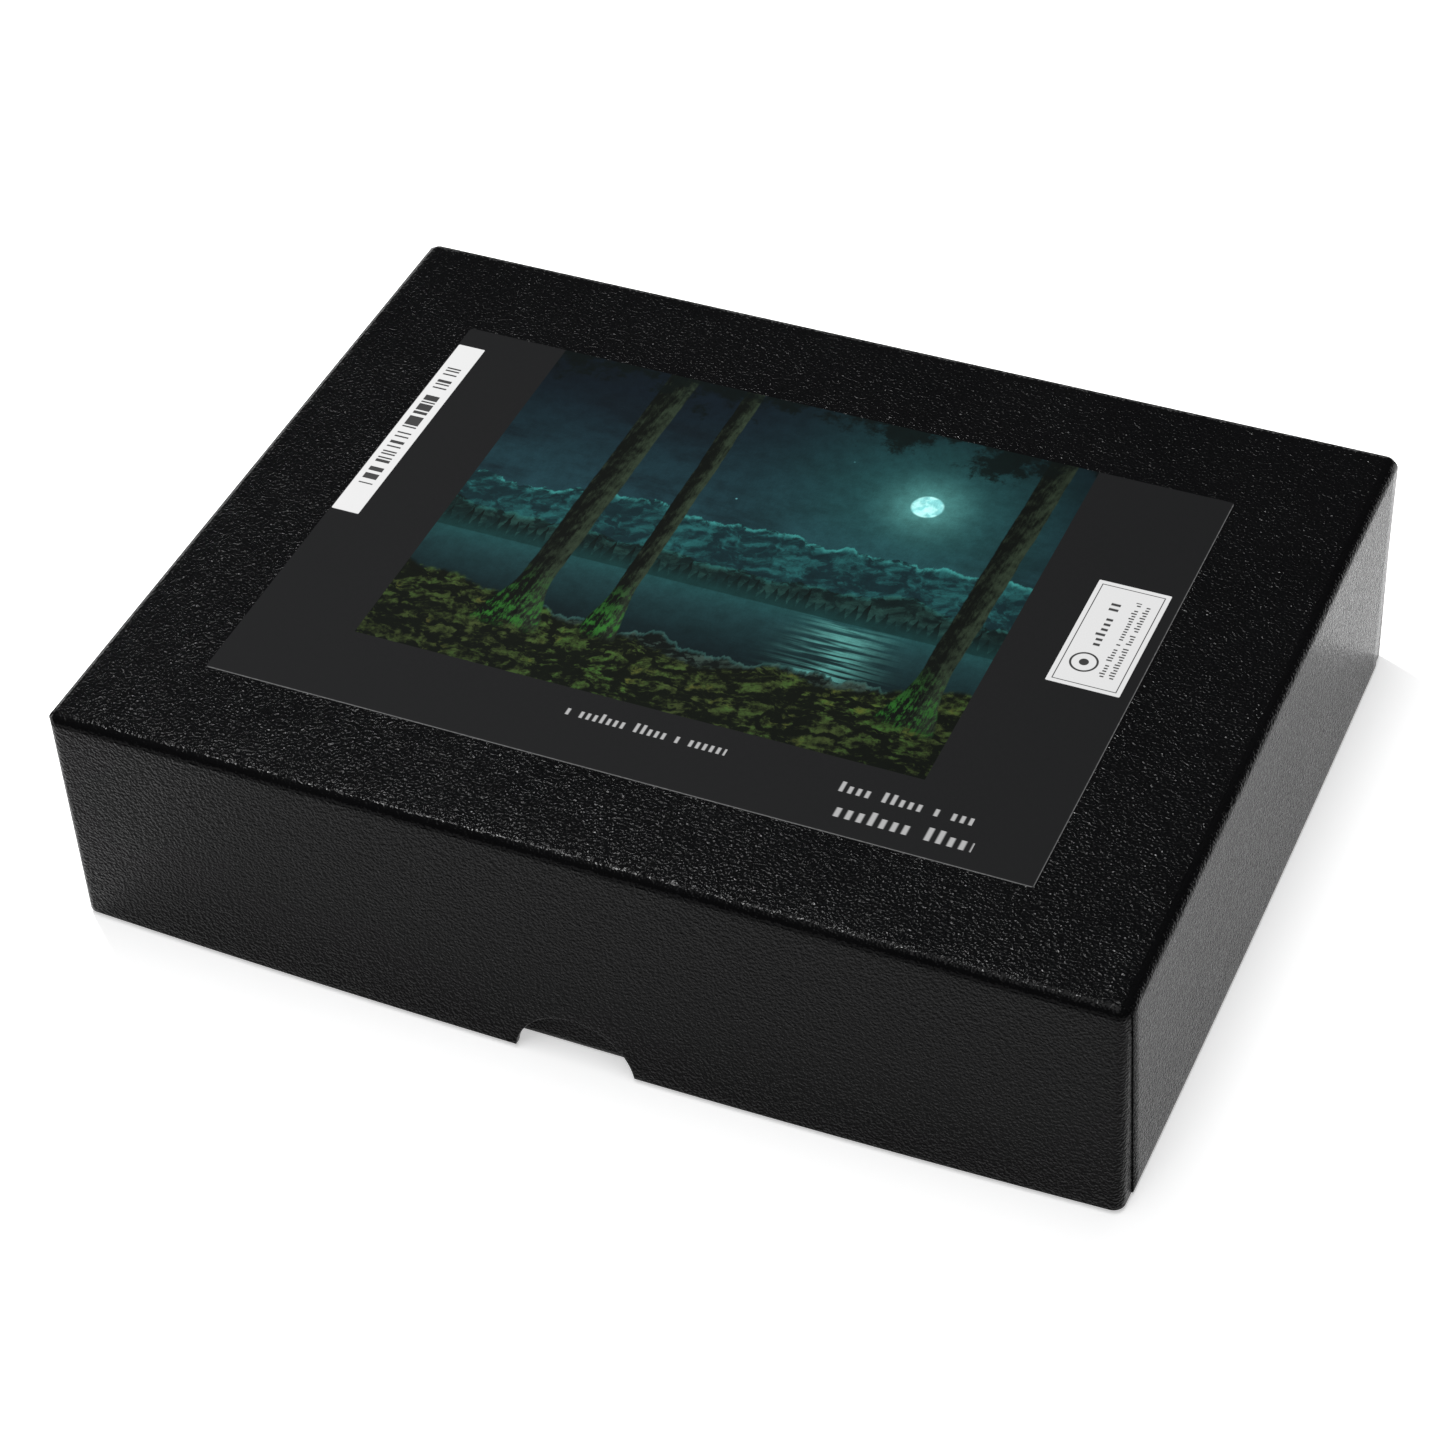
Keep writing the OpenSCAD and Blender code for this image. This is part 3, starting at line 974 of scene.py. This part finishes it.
def distance(u, v, at):
    across, up = u - at[0], v - at[1]
    return (across * across + up * up) ** 0.5


def skyline(u, base, swing, scale, seed):
    """Height of an uneven edge that runs across the picture."""
    return (noise(point(u, seed), scale, 8.0, 0.58) - 0.5) * swing + base


def cover(top, v, softness=0.003):
    """1 below an edge and 0 above it."""
    return smooth(top - v, -softness, softness)


# %% [markdown]
# ## Sky and water
# The moon stands off centre and gives the whole scene its one light. Its halo is two bells of light,
# a wide faint one and a narrow one, and its track on the lake is noise stretched into flat streaks.

# %% Sky and water
MOON_AT, MOON_R = (0.94, 0.77), 0.034
SHORE = 0.37


def paint_sky(flat, u, v):
    sky = blend(smooth(v, 0.95, 0.48), (0.0030, 0.0072, 0.0120), (0.010, 0.036, 0.046))
    cloud = noise(point(u, v * 2.4), 2.8, 8.0, 0.6)
    sky = blend(smooth(cloud, 0.46, 0.66) * 0.8, sky, (0.0030, 0.0068, 0.0100))
    moon = distance(u, v, MOON_AT)
    sky = blend(bell(moon, 0.0, 0.26) * 0.5, sky, (0.018, 0.10, 0.10))
    sky = blend(bell(moon, 0.0, 0.075) * 0.6, sky, (0.10, 0.33, 0.31))
    seas = noise(flat, 40.0, 3.0)
    face = blend(smooth(seas, 0.4, 0.6), (0.20, 0.56, 0.56), (0.42, 0.86, 0.82))
    sky = blend(smooth(moon, MOON_R + 0.003, MOON_R - 0.003), sky, face)
    star = cells(flat, 15.0)
    chosen = cells(flat, 15.0, "Color").above(0.66)
    return blend(smooth(star, 0.07, 0.0) ** 2.0 * chosen * 0.8, sky, (0.14, 0.45, 0.48))


def paint_water(u, v):
    streak = noise(point(u * 2.0, v * 30.0), 3.0, 4.0)
    water = blend(smooth(v, 0.18, SHORE), (0.0025, 0.0085, 0.0105), (0.009, 0.036, 0.040))
    track = bell(u + (streak - 0.5) * 0.08, MOON_AT[0], 0.07) * smooth(streak, 0.40, 0.60)
    return blend(track * 0.8, water, (0.10, 0.33, 0.30))


# %% [markdown]
# ## Hills, banks and pines
# Each range of hills is the same recipe with its own skyline and colours. The far shore's spruces
# are triangles, one to a column, each of its own height. Near the viewer, a mossy bank with boulders
# closes the picture, and straight pine trunks stand in front of everything.

# %% Hills, banks and pines
TRUNKS = (((0.27, 0.14), (0.29, 1.0), 0.034, 0.040), ((0.46, 0.17), (0.455, 1.0), 0.021, 0.022),
          ((1.14, 0.13), (1.16, 1.0), 0.030, 0.034))
SPRUCES = 46.0


def paint_hill(u, v, under, middling, dark, light, rim):
    bent = point(u + (middling - 0.5) * 0.12, v * 1.3 + (middling - 0.5) * 0.10)
    folds = relief(bent, 6.0, 10.0, rough=0.64) * (crevices(bent, 5.0, 0.05) * 0.5 + 0.5)
    hill = blend(smooth(folds, 0.20, 0.90), dark, light)
    return blend(smooth(under, 0.016, 0.0) * smooth(folds, 0.2, 0.6) * 0.6, hill, rim)


def spruce_tops(u, v):
    column = (u + (noise(point(u, v * 2.0), 26.0, 3.0) - 0.5) * 0.010) * SPRUCES
    taper = 1.0 - abs(column.rest() - 0.5) * 2.0
    return taper * (chance(column.whole()) * 0.050 + 0.022) + SHORE + 0.012


def paint_stone(flat, u, v, under, middling):
    beds = point(u + (middling - 0.5) * 0.16, v * 1.7 + (middling - 0.5) * 0.14)
    stone = relief(beds, 7.0, 10.0, rough=0.66) * 0.75 + relief(flat, 30.0, 6.0) * 0.3
    stone = stone * (crevices(beds, 5.5, 0.05) * 0.75 + 0.25)
    rock = blend(smooth(stone, 0.22, 0.85), (0.0020, 0.0042, 0.0036), (0.030, 0.052, 0.042))
    return blend(smooth(under, 0.014, 0.0) * 0.5, rock, (0.034, 0.11, 0.10))


def paint_bank(flat, u, v, wide, middling):
    heaps = point(u + (middling - 0.5) * 0.12, v * 1.9 + (middling - 0.5) * 0.16)
    lumps = relief(heaps, 8.0, 10.0, rough=0.70) * 0.7 + relief(flat, 38.0, 6.0) * 0.35
    lumps = lumps * (crevices(heaps, 6.5, 0.06) * 0.7 + 0.3)
    moss = blend(smooth(lumps, 0.25, 0.95), (0.0018, 0.0034, 0.0014), (0.040, 0.056, 0.016))
    green = smooth(wide + middling * 0.4, 0.55, 0.95) * smooth(lumps, 0.40, 1.05)
    moss = blend(green * 0.75, moss, (0.034, 0.17, 0.022))
    litter = smooth(middling, 0.53, 0.66) * smooth(lumps, 0.42, 0.90)
    return blend(litter * 0.5, moss, (0.11, 0.060, 0.012))


def paint_trunk(under, u, v, shape, ripple, bark):
    """A straight trunk from foot to top, lit by the moon on its right."""
    foot, top, width, flare = shape
    middle = (v - foot[1]) * ((top[0] - foot[0]) / (top[1] - foot[1])) + foot[0]
    low = smooth(v, foot[1] + 0.20, foot[1] - 0.02)
    across = (u - middle + ripple) / (low * low * flare + width)
    inside = smooth(abs(across), 1.06, 0.94) * smooth(v, foot[1] - 0.03, foot[1] + 0.01)
    lit = bark * 0.7 + smooth(across, -0.6, 1.0) * 0.5
    skin = blend(smooth(lit, 0.30, 1.05), (0.0016, 0.0028, 0.0018), (0.022, 0.034, 0.020))
    mossy = smooth(v, foot[1] + 0.20, foot[1]) * smooth(bark, 0.4, 0.8)
    return blend(inside, under, blend(mossy * 0.7, skin, (0.022, 0.14, 0.016)))


# %% [markdown]
# ## The whole picture
# The layers go on from back to front. A last thin layer of fine noise stands for brush marks, and
# the corners are darkened a little.

# %% The whole picture
def paint_picture():
    tree = bpy.data.node_groups.new("night_picture", "ShaderNodeTree")
    tree.interface.new_socket("Place", in_out="INPUT", socket_type="NodeSocketVector")
    tree.interface.new_socket("Picture", in_out="OUTPUT", socket_type="NodeSocketColor")
    place = Wire(tree, tree.nodes.new("NodeGroupInput").outputs["Place"])
    u, v, _ = split(place)
    flat = point(u, v)
    middling = noise(flat, 9.0, 4.0, 0.6)
    wide = noise(flat, 3.2, 5.0, 0.55)
    picture = paint_sky(flat, u, v)
    far = skyline(u, 0.57, 0.34, 2.6, 1.7)
    picture = blend(cover(far, v), picture, paint_hill(
        u, v, far - v, middling, (0.0040, 0.0170, 0.0210), (0.014, 0.090, 0.092), (0.05, 0.30, 0.28)))
    near = skyline(u, 0.46, 0.20, 3.4, 6.2)
    picture = blend(cover(near, v), picture, paint_hill(
        u, v, near - v, middling, (0.0022, 0.0080, 0.0080), (0.012, 0.040, 0.034), (0.02, 0.12, 0.11)))
    picture = blend(cover(spruce_tops(u, v), v), picture, (0.0012, 0.0034, 0.0030))
    picture = blend(smooth(v, SHORE + 0.002, SHORE - 0.002), picture, paint_water(u, v))
    picture = blend(bell(v, SHORE, 0.035) * 0.35, picture, (0.012, 0.075, 0.075))
    boulders = skyline(u, 0.19, 0.26, 5.5, 3.3)
    picture = blend(cover(boulders, v), picture, paint_stone(flat, u, v, boulders - v, middling))
    bank = skyline(u, 0.145, 0.16, 4.0, 8.8) + abs(u - 0.68) * 0.16
    picture = blend(cover(bank, v, 0.008), picture, paint_bank(flat, u, v, wide, middling))
    bark = relief(point(u * 3.0, v * 0.9), 9.0, 9.0, rough=0.7)
    for shape in TRUNKS:
        picture = paint_trunk(picture, u, v, shape, (middling - 0.5) * 0.012, bark)
    # Needles hang into the picture from above
    needles = noise(flat, 7.0, 9.0, 0.74) * 0.8 + bell(v, 1.06, 0.20) * 0.30
    picture = blend(smooth(needles, 0.60, 0.68) * 0.9, picture, (0.0012, 0.0036, 0.0030))
    fine = noise(flat, 26.0, 5.0, 0.65)
    picture = blend(smooth(fine, 0.2, 0.8) * 0.35, picture, (0.0, 0.0, 0.0))
    corner = distance(u * 0.8, v, (0.5, 0.5))
    picture = blend(smooth(corner, 0.40, 0.75) * 0.3, picture, (0.0, 0.0, 0.0))
    out = tree.nodes.new("NodeGroupOutput")
    plug(tree, out.inputs["Picture"], picture)
    return tree


night_picture = paint_picture()
print("picture nodes:", len(night_picture.nodes))


# %% [markdown]
# ## Finishes
# Every material starts the same way: a Principled shader whose constant settings are written on
# its own sockets, and a place to read, either the object's own coordinates or its print map.

# %% Starting a material
def start_material(name, rough, specular=0.5, **settings):
    """A new material, its tree and its shader."""
    material = bpy.data.materials.new(name)
    material.use_nodes = True
    tree = material.node_tree
    shader = tree.nodes["Principled BSDF"]
    shader.inputs["Roughness"].default_value = rough
    shader.inputs["Specular IOR Level"].default_value = specular
    for socket, value in settings.items():
        shader.inputs[socket.replace("_", " ")].default_value = value
    return material, tree, shader


def own_place(tree):
    """The place on the object, in metres."""
    return Wire(tree, tree.nodes.new("ShaderNodeTexCoord").outputs["Object"])


def print_place(tree):
    """The place in the piece's print map."""
    node = tree.nodes.new("ShaderNodeUVMap")
    node.uv_map = "print"
    return Wire(tree, node.outputs["UV"])


def raise_surface(tree, shader, height, depth):
    """Bump: height from 0 to 1 stands for depth in metres."""
    bump = tree.nodes.new("ShaderNodeBump")
    bump.inputs["Distance"].default_value = depth
    bump.inputs["Strength"].default_value = 1.0
    plug(tree, bump.inputs["Height"], height)
    tree.links.new(bump.outputs["Normal"], shader.inputs["Normal"])


# %% [markdown]
# ## Leatherette
# The wrap is paper with a black coating, pressed by an engraved roller into a pebble grain: small
# rounded islands of about half a millimetre with creases between them. The islands are a Voronoi
# pattern whose cells are pulled out of shape by noise, and a finer noise wrinkles them. Over the
# folded edges the paper is stretched, so the grain is flatter there. On black nothing but this
# relief and the roughness shows.

# %% Leatherette material
GRAIN_PER_M, GRAIN_DEPTH = 1650.0, 0.24 * MM


def make_leatherette():
    material, tree, shader = start_material("black_leatherette", 0.13, 0.040)
    place = own_place(tree)
    pull = noise(place, 1300.0, 2.0)
    x, y, z = split(place)
    bent = point(x + (pull - 0.5) * 0.0007, y - (pull - 0.5) * 0.0005, z + (pull - 0.5) * 0.0006)
    islands = smooth(cells(bent, GRAIN_PER_M, feature="SMOOTH_F1"), 0.75, 0.1)
    wrinkle = noise(bent, 1350.0, 1.0, 0.5)
    stretch = tree.nodes.new("ShaderNodeAttribute")
    stretch.attribute_name = "stretch"
    flatter = 1.0 - Wire(tree, stretch.outputs["Fac"]) * 0.55
    height = (islands * 0.6 + wrinkle * 0.9) * flatter
    raise_surface(tree, shader, height, GRAIN_DEPTH)
    patch = noise(place, 35.0, 3.0)
    tint = blend(patch, (0.0018, 0.0018, 0.0020), (0.0029, 0.0029, 0.0031))
    plug(tree, shader.inputs["Base Color"], tint)
    polish = smooth(islands, 0.0, 1.0, 0.20, 0.09) + (patch - 0.5) * 0.06
    plug(tree, shader.inputs["Roughness"], polish)
    return material


leatherette = make_leatherette()
print("leatherette nodes:", len(leatherette.node_tree.nodes))

# %% [markdown]
# ## Board, tape, lining and cut edges
# These are all plain fibre: pulp pressed flat. They differ in colour, in how coarse the fibres
# are, and in how many dark or light flecks are left in the pulp. One function makes them all.

# %% Fibre materials
def make_fibre(name, dark, light, fibre_per_m, flecks, rough, depth):
    """Pulp: noise stretched into short fibres both ways, and flecks where a finer noise peaks."""
    material, tree, shader = start_material(name, rough, 0.25)
    place = own_place(tree)
    x, y, z = split(place)
    along = noise(point(x, y * 5.0, z * 5.0), fibre_per_m, 4.0, 0.6)
    across = noise(point(x * 5.0, y, z * 2.0), fibre_per_m, 4.0, 0.6)
    fibre = along * 0.5 + across * 0.5
    colour = blend(smooth(fibre, 0.3, 0.7), dark, light)
    fleck = smooth(noise(place, fibre_per_m * 3.5, 2.0), 0.66, 0.74)
    colour = blend(fleck * flecks, colour, tuple(c * 0.45 for c in dark))
    plug(tree, shader.inputs["Base Color"], colour)
    raise_surface(tree, shader, fibre, depth)
    return material


greyboard = make_fibre(
    "greyboard", (0.20, 0.185, 0.165), (0.34, 0.32, 0.29), 420.0, 0.7, 0.9, 0.05 * MM)
kraft = make_fibre(
    "kraft_tape", (0.30, 0.19, 0.10), (0.44, 0.30, 0.18), 500.0, 0.4, 0.8, 0.03 * MM)
white_lining = make_fibre(
    "white_lining", (0.66, 0.66, 0.65), (0.76, 0.76, 0.75), 600.0, 0.08, 0.75, 0.02 * MM)
cut_paper = make_fibre(
    "cut_paper", (0.60, 0.60, 0.60), (0.72, 0.72, 0.72), 2500.0, 0.1, 0.8, 0.01 * MM)
print("fibres:", [m.name for m in (greyboard, kraft, white_lining, cut_paper)])

# %% [markdown]
# ## Print on the label
# The label is printed on matt linen-finish paper: dark grey all over, the picture running off at
# its top, and lines of small print below it. The lines are laid out as rows of plain blocks, some
# taller and some missing, which is how a designer marks text that isn't set yet.

# %% Blocks and linen
def within(value, low, high, soft=0.06):
    """1 between low and high, 0 outside, with a printed edge of soft mm."""
    return smooth(value, low - soft, low + soft) * smooth(value, high + soft, high - soft)


def block_line(along, up, start, end, low, high, pitch, seed):
    """A row of blocks, one per pitch: a block is missing where chance says a space, and is as
    tall as the line or only up to seven tenths of it."""
    number = ((along - start) / pitch).whole()
    spot = ((along - start) / pitch).rest()
    present = chance(number, seed).above(0.14)
    tall = chance(number, seed + 0.37).above(0.62)
    top = tall * (0.3 * (high - low)) + (low + 0.7 * (high - low))
    body = within(spot, 0.16, 0.62, 0.1)
    height = smooth(up, low - 0.05, low + 0.05) * smooth(top - up, -0.05, 0.05)
    return present * body * height * within(along, start, end)


def lay_linen(tree, shader, x, y, depth):
    """Fine threads both ways: each direction is noise stretched along its thread."""
    warp = noise(point(x * 0.25, y * 2.4), 2.2, 2.0)
    weft = noise(point(x * 2.4, y * 0.25), 2.2, 2.0)
    weave = warp * 0.5 + weft * 0.5
    raise_surface(tree, shader, weave, depth)
    return weave


# %% [markdown]
# The layout is in millimetres from the label's lower left corner. Over the print lies a painted
# highlight: a light line along the front and the right edges, standing in for the cut edge catching
# the light there.

# %% Label print
ART_LOW, ART_SIZE, ART_RIGHT = (25.7, 22.1), 110.4, 162.0
# Start, end, foot, top, width of a step, and a seed, for each row of blocks
LABEL_LINES = (
    (81.2, 119.2, 13.9, 16.8, 1.62, 3.0),
    (145.8, 176.2, 12.5, 15.6, 1.95, 8.0),
    (147.5, 178.8, 5.0, 9.0, 2.55, 5.0),
)


def make_label_print():
    material, tree, shader = start_material("label_print", 0.6, 0.04)
    x, y, _ = split(print_place(tree))
    weave = lay_linen(tree, shader, x, y, 0.016 * MM)
    paper = blend(weave, (0.0055, 0.0056, 0.0059), (0.0089, 0.0091, 0.0095))
    art = tree.nodes.new("ShaderNodeGroup")
    art.node_tree = night_picture
    spot = point((x - ART_LOW[0]) / ART_SIZE, (y - ART_LOW[1]) / ART_SIZE)
    plug(tree, art.inputs["Place"], spot)
    picture = blend(smooth(weave, 0.35, 0.65) * 0.18, Wire(tree, art.outputs["Picture"]), (0, 0, 0))
    inside = within(x, ART_LOW[0], ART_RIGHT) * smooth(y, ART_LOW[1] - 0.1, ART_LOW[1] + 0.1)
    colour = blend(inside, paper, picture)
    for start, end, low, high, pitch, seed in LABEL_LINES:
        line = block_line(x, y, start, end, low, high, pitch, seed)
        colour = blend(line, colour, (0.28, 0.28, 0.28))
    wide = (label_high.x - label_low.x) / MM
    # Painted highlight: the print is lightened along its front and right edges, where the cut edge
    # catches the light
    painted_edge_highlight = smooth(x, wide - 0.24, wide - 0.06) + smooth(y, 0.24, 0.06)
    colour = blend(painted_edge_highlight * noise(point(x, y), 0.9, 3.0) * 0.8, colour, (0.25, 0.25, 0.25))
    plug(tree, shader.inputs["Base Color"], colour)
    return material


label_print = make_label_print()
print("label nodes:", len(label_print.node_tree.nodes))

# %% [markdown]
# ## Stickers
# Both are white thermal paper. One carries a strip of black bars of chance widths, which codes
# nothing. The other has a thin frame with a plain ring and three rows of blocks in it, turned a
# quarter, because it is stuck on to be read from the right.

# %% Sticker prints
STICKER_WHITE, INK = (0.48, 0.48, 0.48), (0.012, 0.012, 0.012)


def make_sticker(name, ink_of):
    """White paper with black ink where ink_of(x, y) says, x and y in mm on the sticker."""
    material, tree, shader = start_material(name, 0.5, 0.3)
    x, y, _ = split(print_place(tree))
    grain = noise(point(x, y), 5.0, 3.0)
    colour = blend(grain, tuple(c * 0.97 for c in STICKER_WHITE), STICKER_WHITE)
    plug(tree, shader.inputs["Base Color"], blend(ink_of(x, y), colour, INK))
    raise_surface(tree, shader, grain, 0.004 * MM)
    return material


def bars(x, y):
    """Bars across the strip: each step of 0.5 mm is black or white by chance."""
    step = chance((y / 0.5).whole(), 4.0)
    return step.above(0.44) * within(x, 1.5, 5.1) * within(y, 10.6, 61.1)


def frame_ring_and_lines(x, y):
    """Everything printed on the framed sticker."""
    width, tall = 17.0, 35.7
    away_x, away_y = abs(x - width / 2), abs(y - tall / 2)
    inner, outer = (
        smooth(away_x, width / 2 - inset, width / 2 - inset - 0.1)
        * smooth(away_y, tall / 2 - inset, tall / 2 - inset - 0.1) for inset in (1.25, 1.02))
    from_middle = distance(x, y, (6.0, 8.3))
    ring = within(from_middle, 2.75, 3.25, 0.05)
    core = smooth(from_middle, 1.15, 1.05)
    sideways = 15.0 - x
    bold = block_line(y, sideways, 14.0, 29.2, 7.6, 9.8, 1.75, 6.0)
    small = block_line(y, sideways, 4.8, 31.0, 3.4, 4.7, 0.92, 7.0)
    lower = block_line(y, sideways, 4.8, 30.6, 1.15, 2.45, 0.92, 21.0)
    total = (outer - inner) + ring + core + bold + small + lower
    return total.math("MINIMUM", 1.0)


bar_print = make_sticker("bar_strip_print", bars)
notice_print = make_sticker("framed_notice_print", frame_ring_and_lines)
print("stickers:", bar_print.name, notice_print.name)

# %% [markdown]
# ## Puzzle pieces and bag
# The printed side of a piece has the picture under a satin varnish, at the piece's own place in it.
# The bag is film a few hundredths of a millimetre thick. It shows only by what it mirrors and by the
# whitish lines of its creases, which are partly the film's own whitening and partly painted highlight,
# so it is mostly transparent, less so in the creases.

# %% Piece and film materials
VARNISH_HAZE = 0.25


def make_puzzle_print():
    material, tree, shader = start_material("puzzle_print", 0.32, 0.5)
    place = print_place(tree)
    art = tree.nodes.new("ShaderNodeGroup")
    art.node_tree = night_picture
    plug(tree, art.inputs["Place"], place)
    picture = Wire(tree, art.outputs["Picture"])
    colour = blend(VARNISH_HAZE, picture, (0.03, 0.05, 0.05))
    plug(tree, shader.inputs["Base Color"], colour)
    x, y, _ = split(place)
    lay_linen(tree, shader, x * (PUZZLE_W / MM), y * (PUZZLE_W / MM), 0.02 * MM)
    return material


puzzle_print = make_puzzle_print()
puzzle_back = make_fibre(
    "puzzle_board", (0.27, 0.25, 0.225), (0.42, 0.40, 0.37), 700.0, 0.5, 0.9, 0.04 * MM)


def place_bent(place, per_m):
    """The place pushed about a little by noise, so that no fold is quite straight."""
    x, y, z = split(place)
    push = (noise(place, per_m * 0.8, 2.0) - 0.5) * (0.25 / per_m)
    return point(x + push, y - push, z + push)


def make_film():
    """Crumpled film is flat facets that tilt at random: each Voronoi cell's colour gives its slopes
    along X and Y, and the cells' edges are the whitish creases, partly the film's own whitening and
    partly painted highlight."""
    material, tree, shader = start_material("clear_film", 0.12, 0.9, IOR=1.5)
    place = own_place(tree)
    x, y, _ = split(place)
    height = 0.0
    crease_whitening_and_highlight = 0.0
    for facets_per_m, slope, share in ((24.0, 0.20, 0.045), (64.0, 0.16, 0.03)):
        bent = place_bent(place, facets_per_m)
        tilt_x, tilt_y, _ = split(cells(bent, facets_per_m, "Color"))
        height = (tilt_x - 0.5) * x * slope + (tilt_y - 0.5) * y * slope + height
        edge = cells(bent, facets_per_m, feature="DISTANCE_TO_EDGE")
        # Partly painted highlight: the creases are made whiter and more opaque, for the film's own
        # whitening and for light caught by the folds
        crease_whitening_and_highlight = smooth(edge, 0.035, 0.0) * share + crease_whitening_and_highlight
    cloudy = noise(place, 18.0, 3.0)
    plug(tree, shader.inputs["Base Color"], blend(cloudy, (0.70, 0.72, 0.74), (0.90, 0.91, 0.92)))
    plug(tree, shader.inputs["Alpha"], crease_whitening_and_highlight * smooth(cloudy, 0.35, 0.65) + cloudy * 0.08 + 0.05)
    raise_surface(tree, shader, height, 1.0)
    return material


clear_film = make_film()
print("inside the box:", puzzle_print.name, puzzle_back.name, clear_film.name)

# %% [markdown]
# ## Putting it together
# Each piece gets its materials, the body it moves with, and the CAD node it replaces. The corner stays
# are CAD nodes of the right shape already, so they keep their mesh and only get the kraft finish.

# %% Materials, bodies and nodes
def finish_piece(piece, body, materials, node=None):
    """Materials in slot order, then the frame's calls."""
    for material in materials:
        piece.data.materials.append(material)
    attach(piece, body)
    if node:
        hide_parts(node)


for prefix, body, skin in (("lid", "lid", lid_skin), ("base", "tray", base_skin)):
    finish_piece(skin, body, [leatherette], prefix + "_wrap")
    for flap in flaps[body]:
        finish_piece(flap, body, [leatherette])
    finish_piece(boards[body], body, [greyboard], prefix + "_board")
    finish_piece(linings[body], body, [white_lining], prefix + "_lining")
    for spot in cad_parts[prefix + "_corner_stays"].material_slots:
        spot.material = kraft

finish_piece(label, "lid", [label_print, cut_paper], "lid_label")
finish_piece(bar_strip, "lid", [bar_print, cut_paper], "barcode_sticker")
finish_piece(notice, "lid", [notice_print, cut_paper], "notice_sticker")
finish_piece(film, "contents", [clear_film], "piece_bag")
for node, piece in heap.items():
    finish_piece(piece, "contents", [puzzle_print, puzzle_back], node)
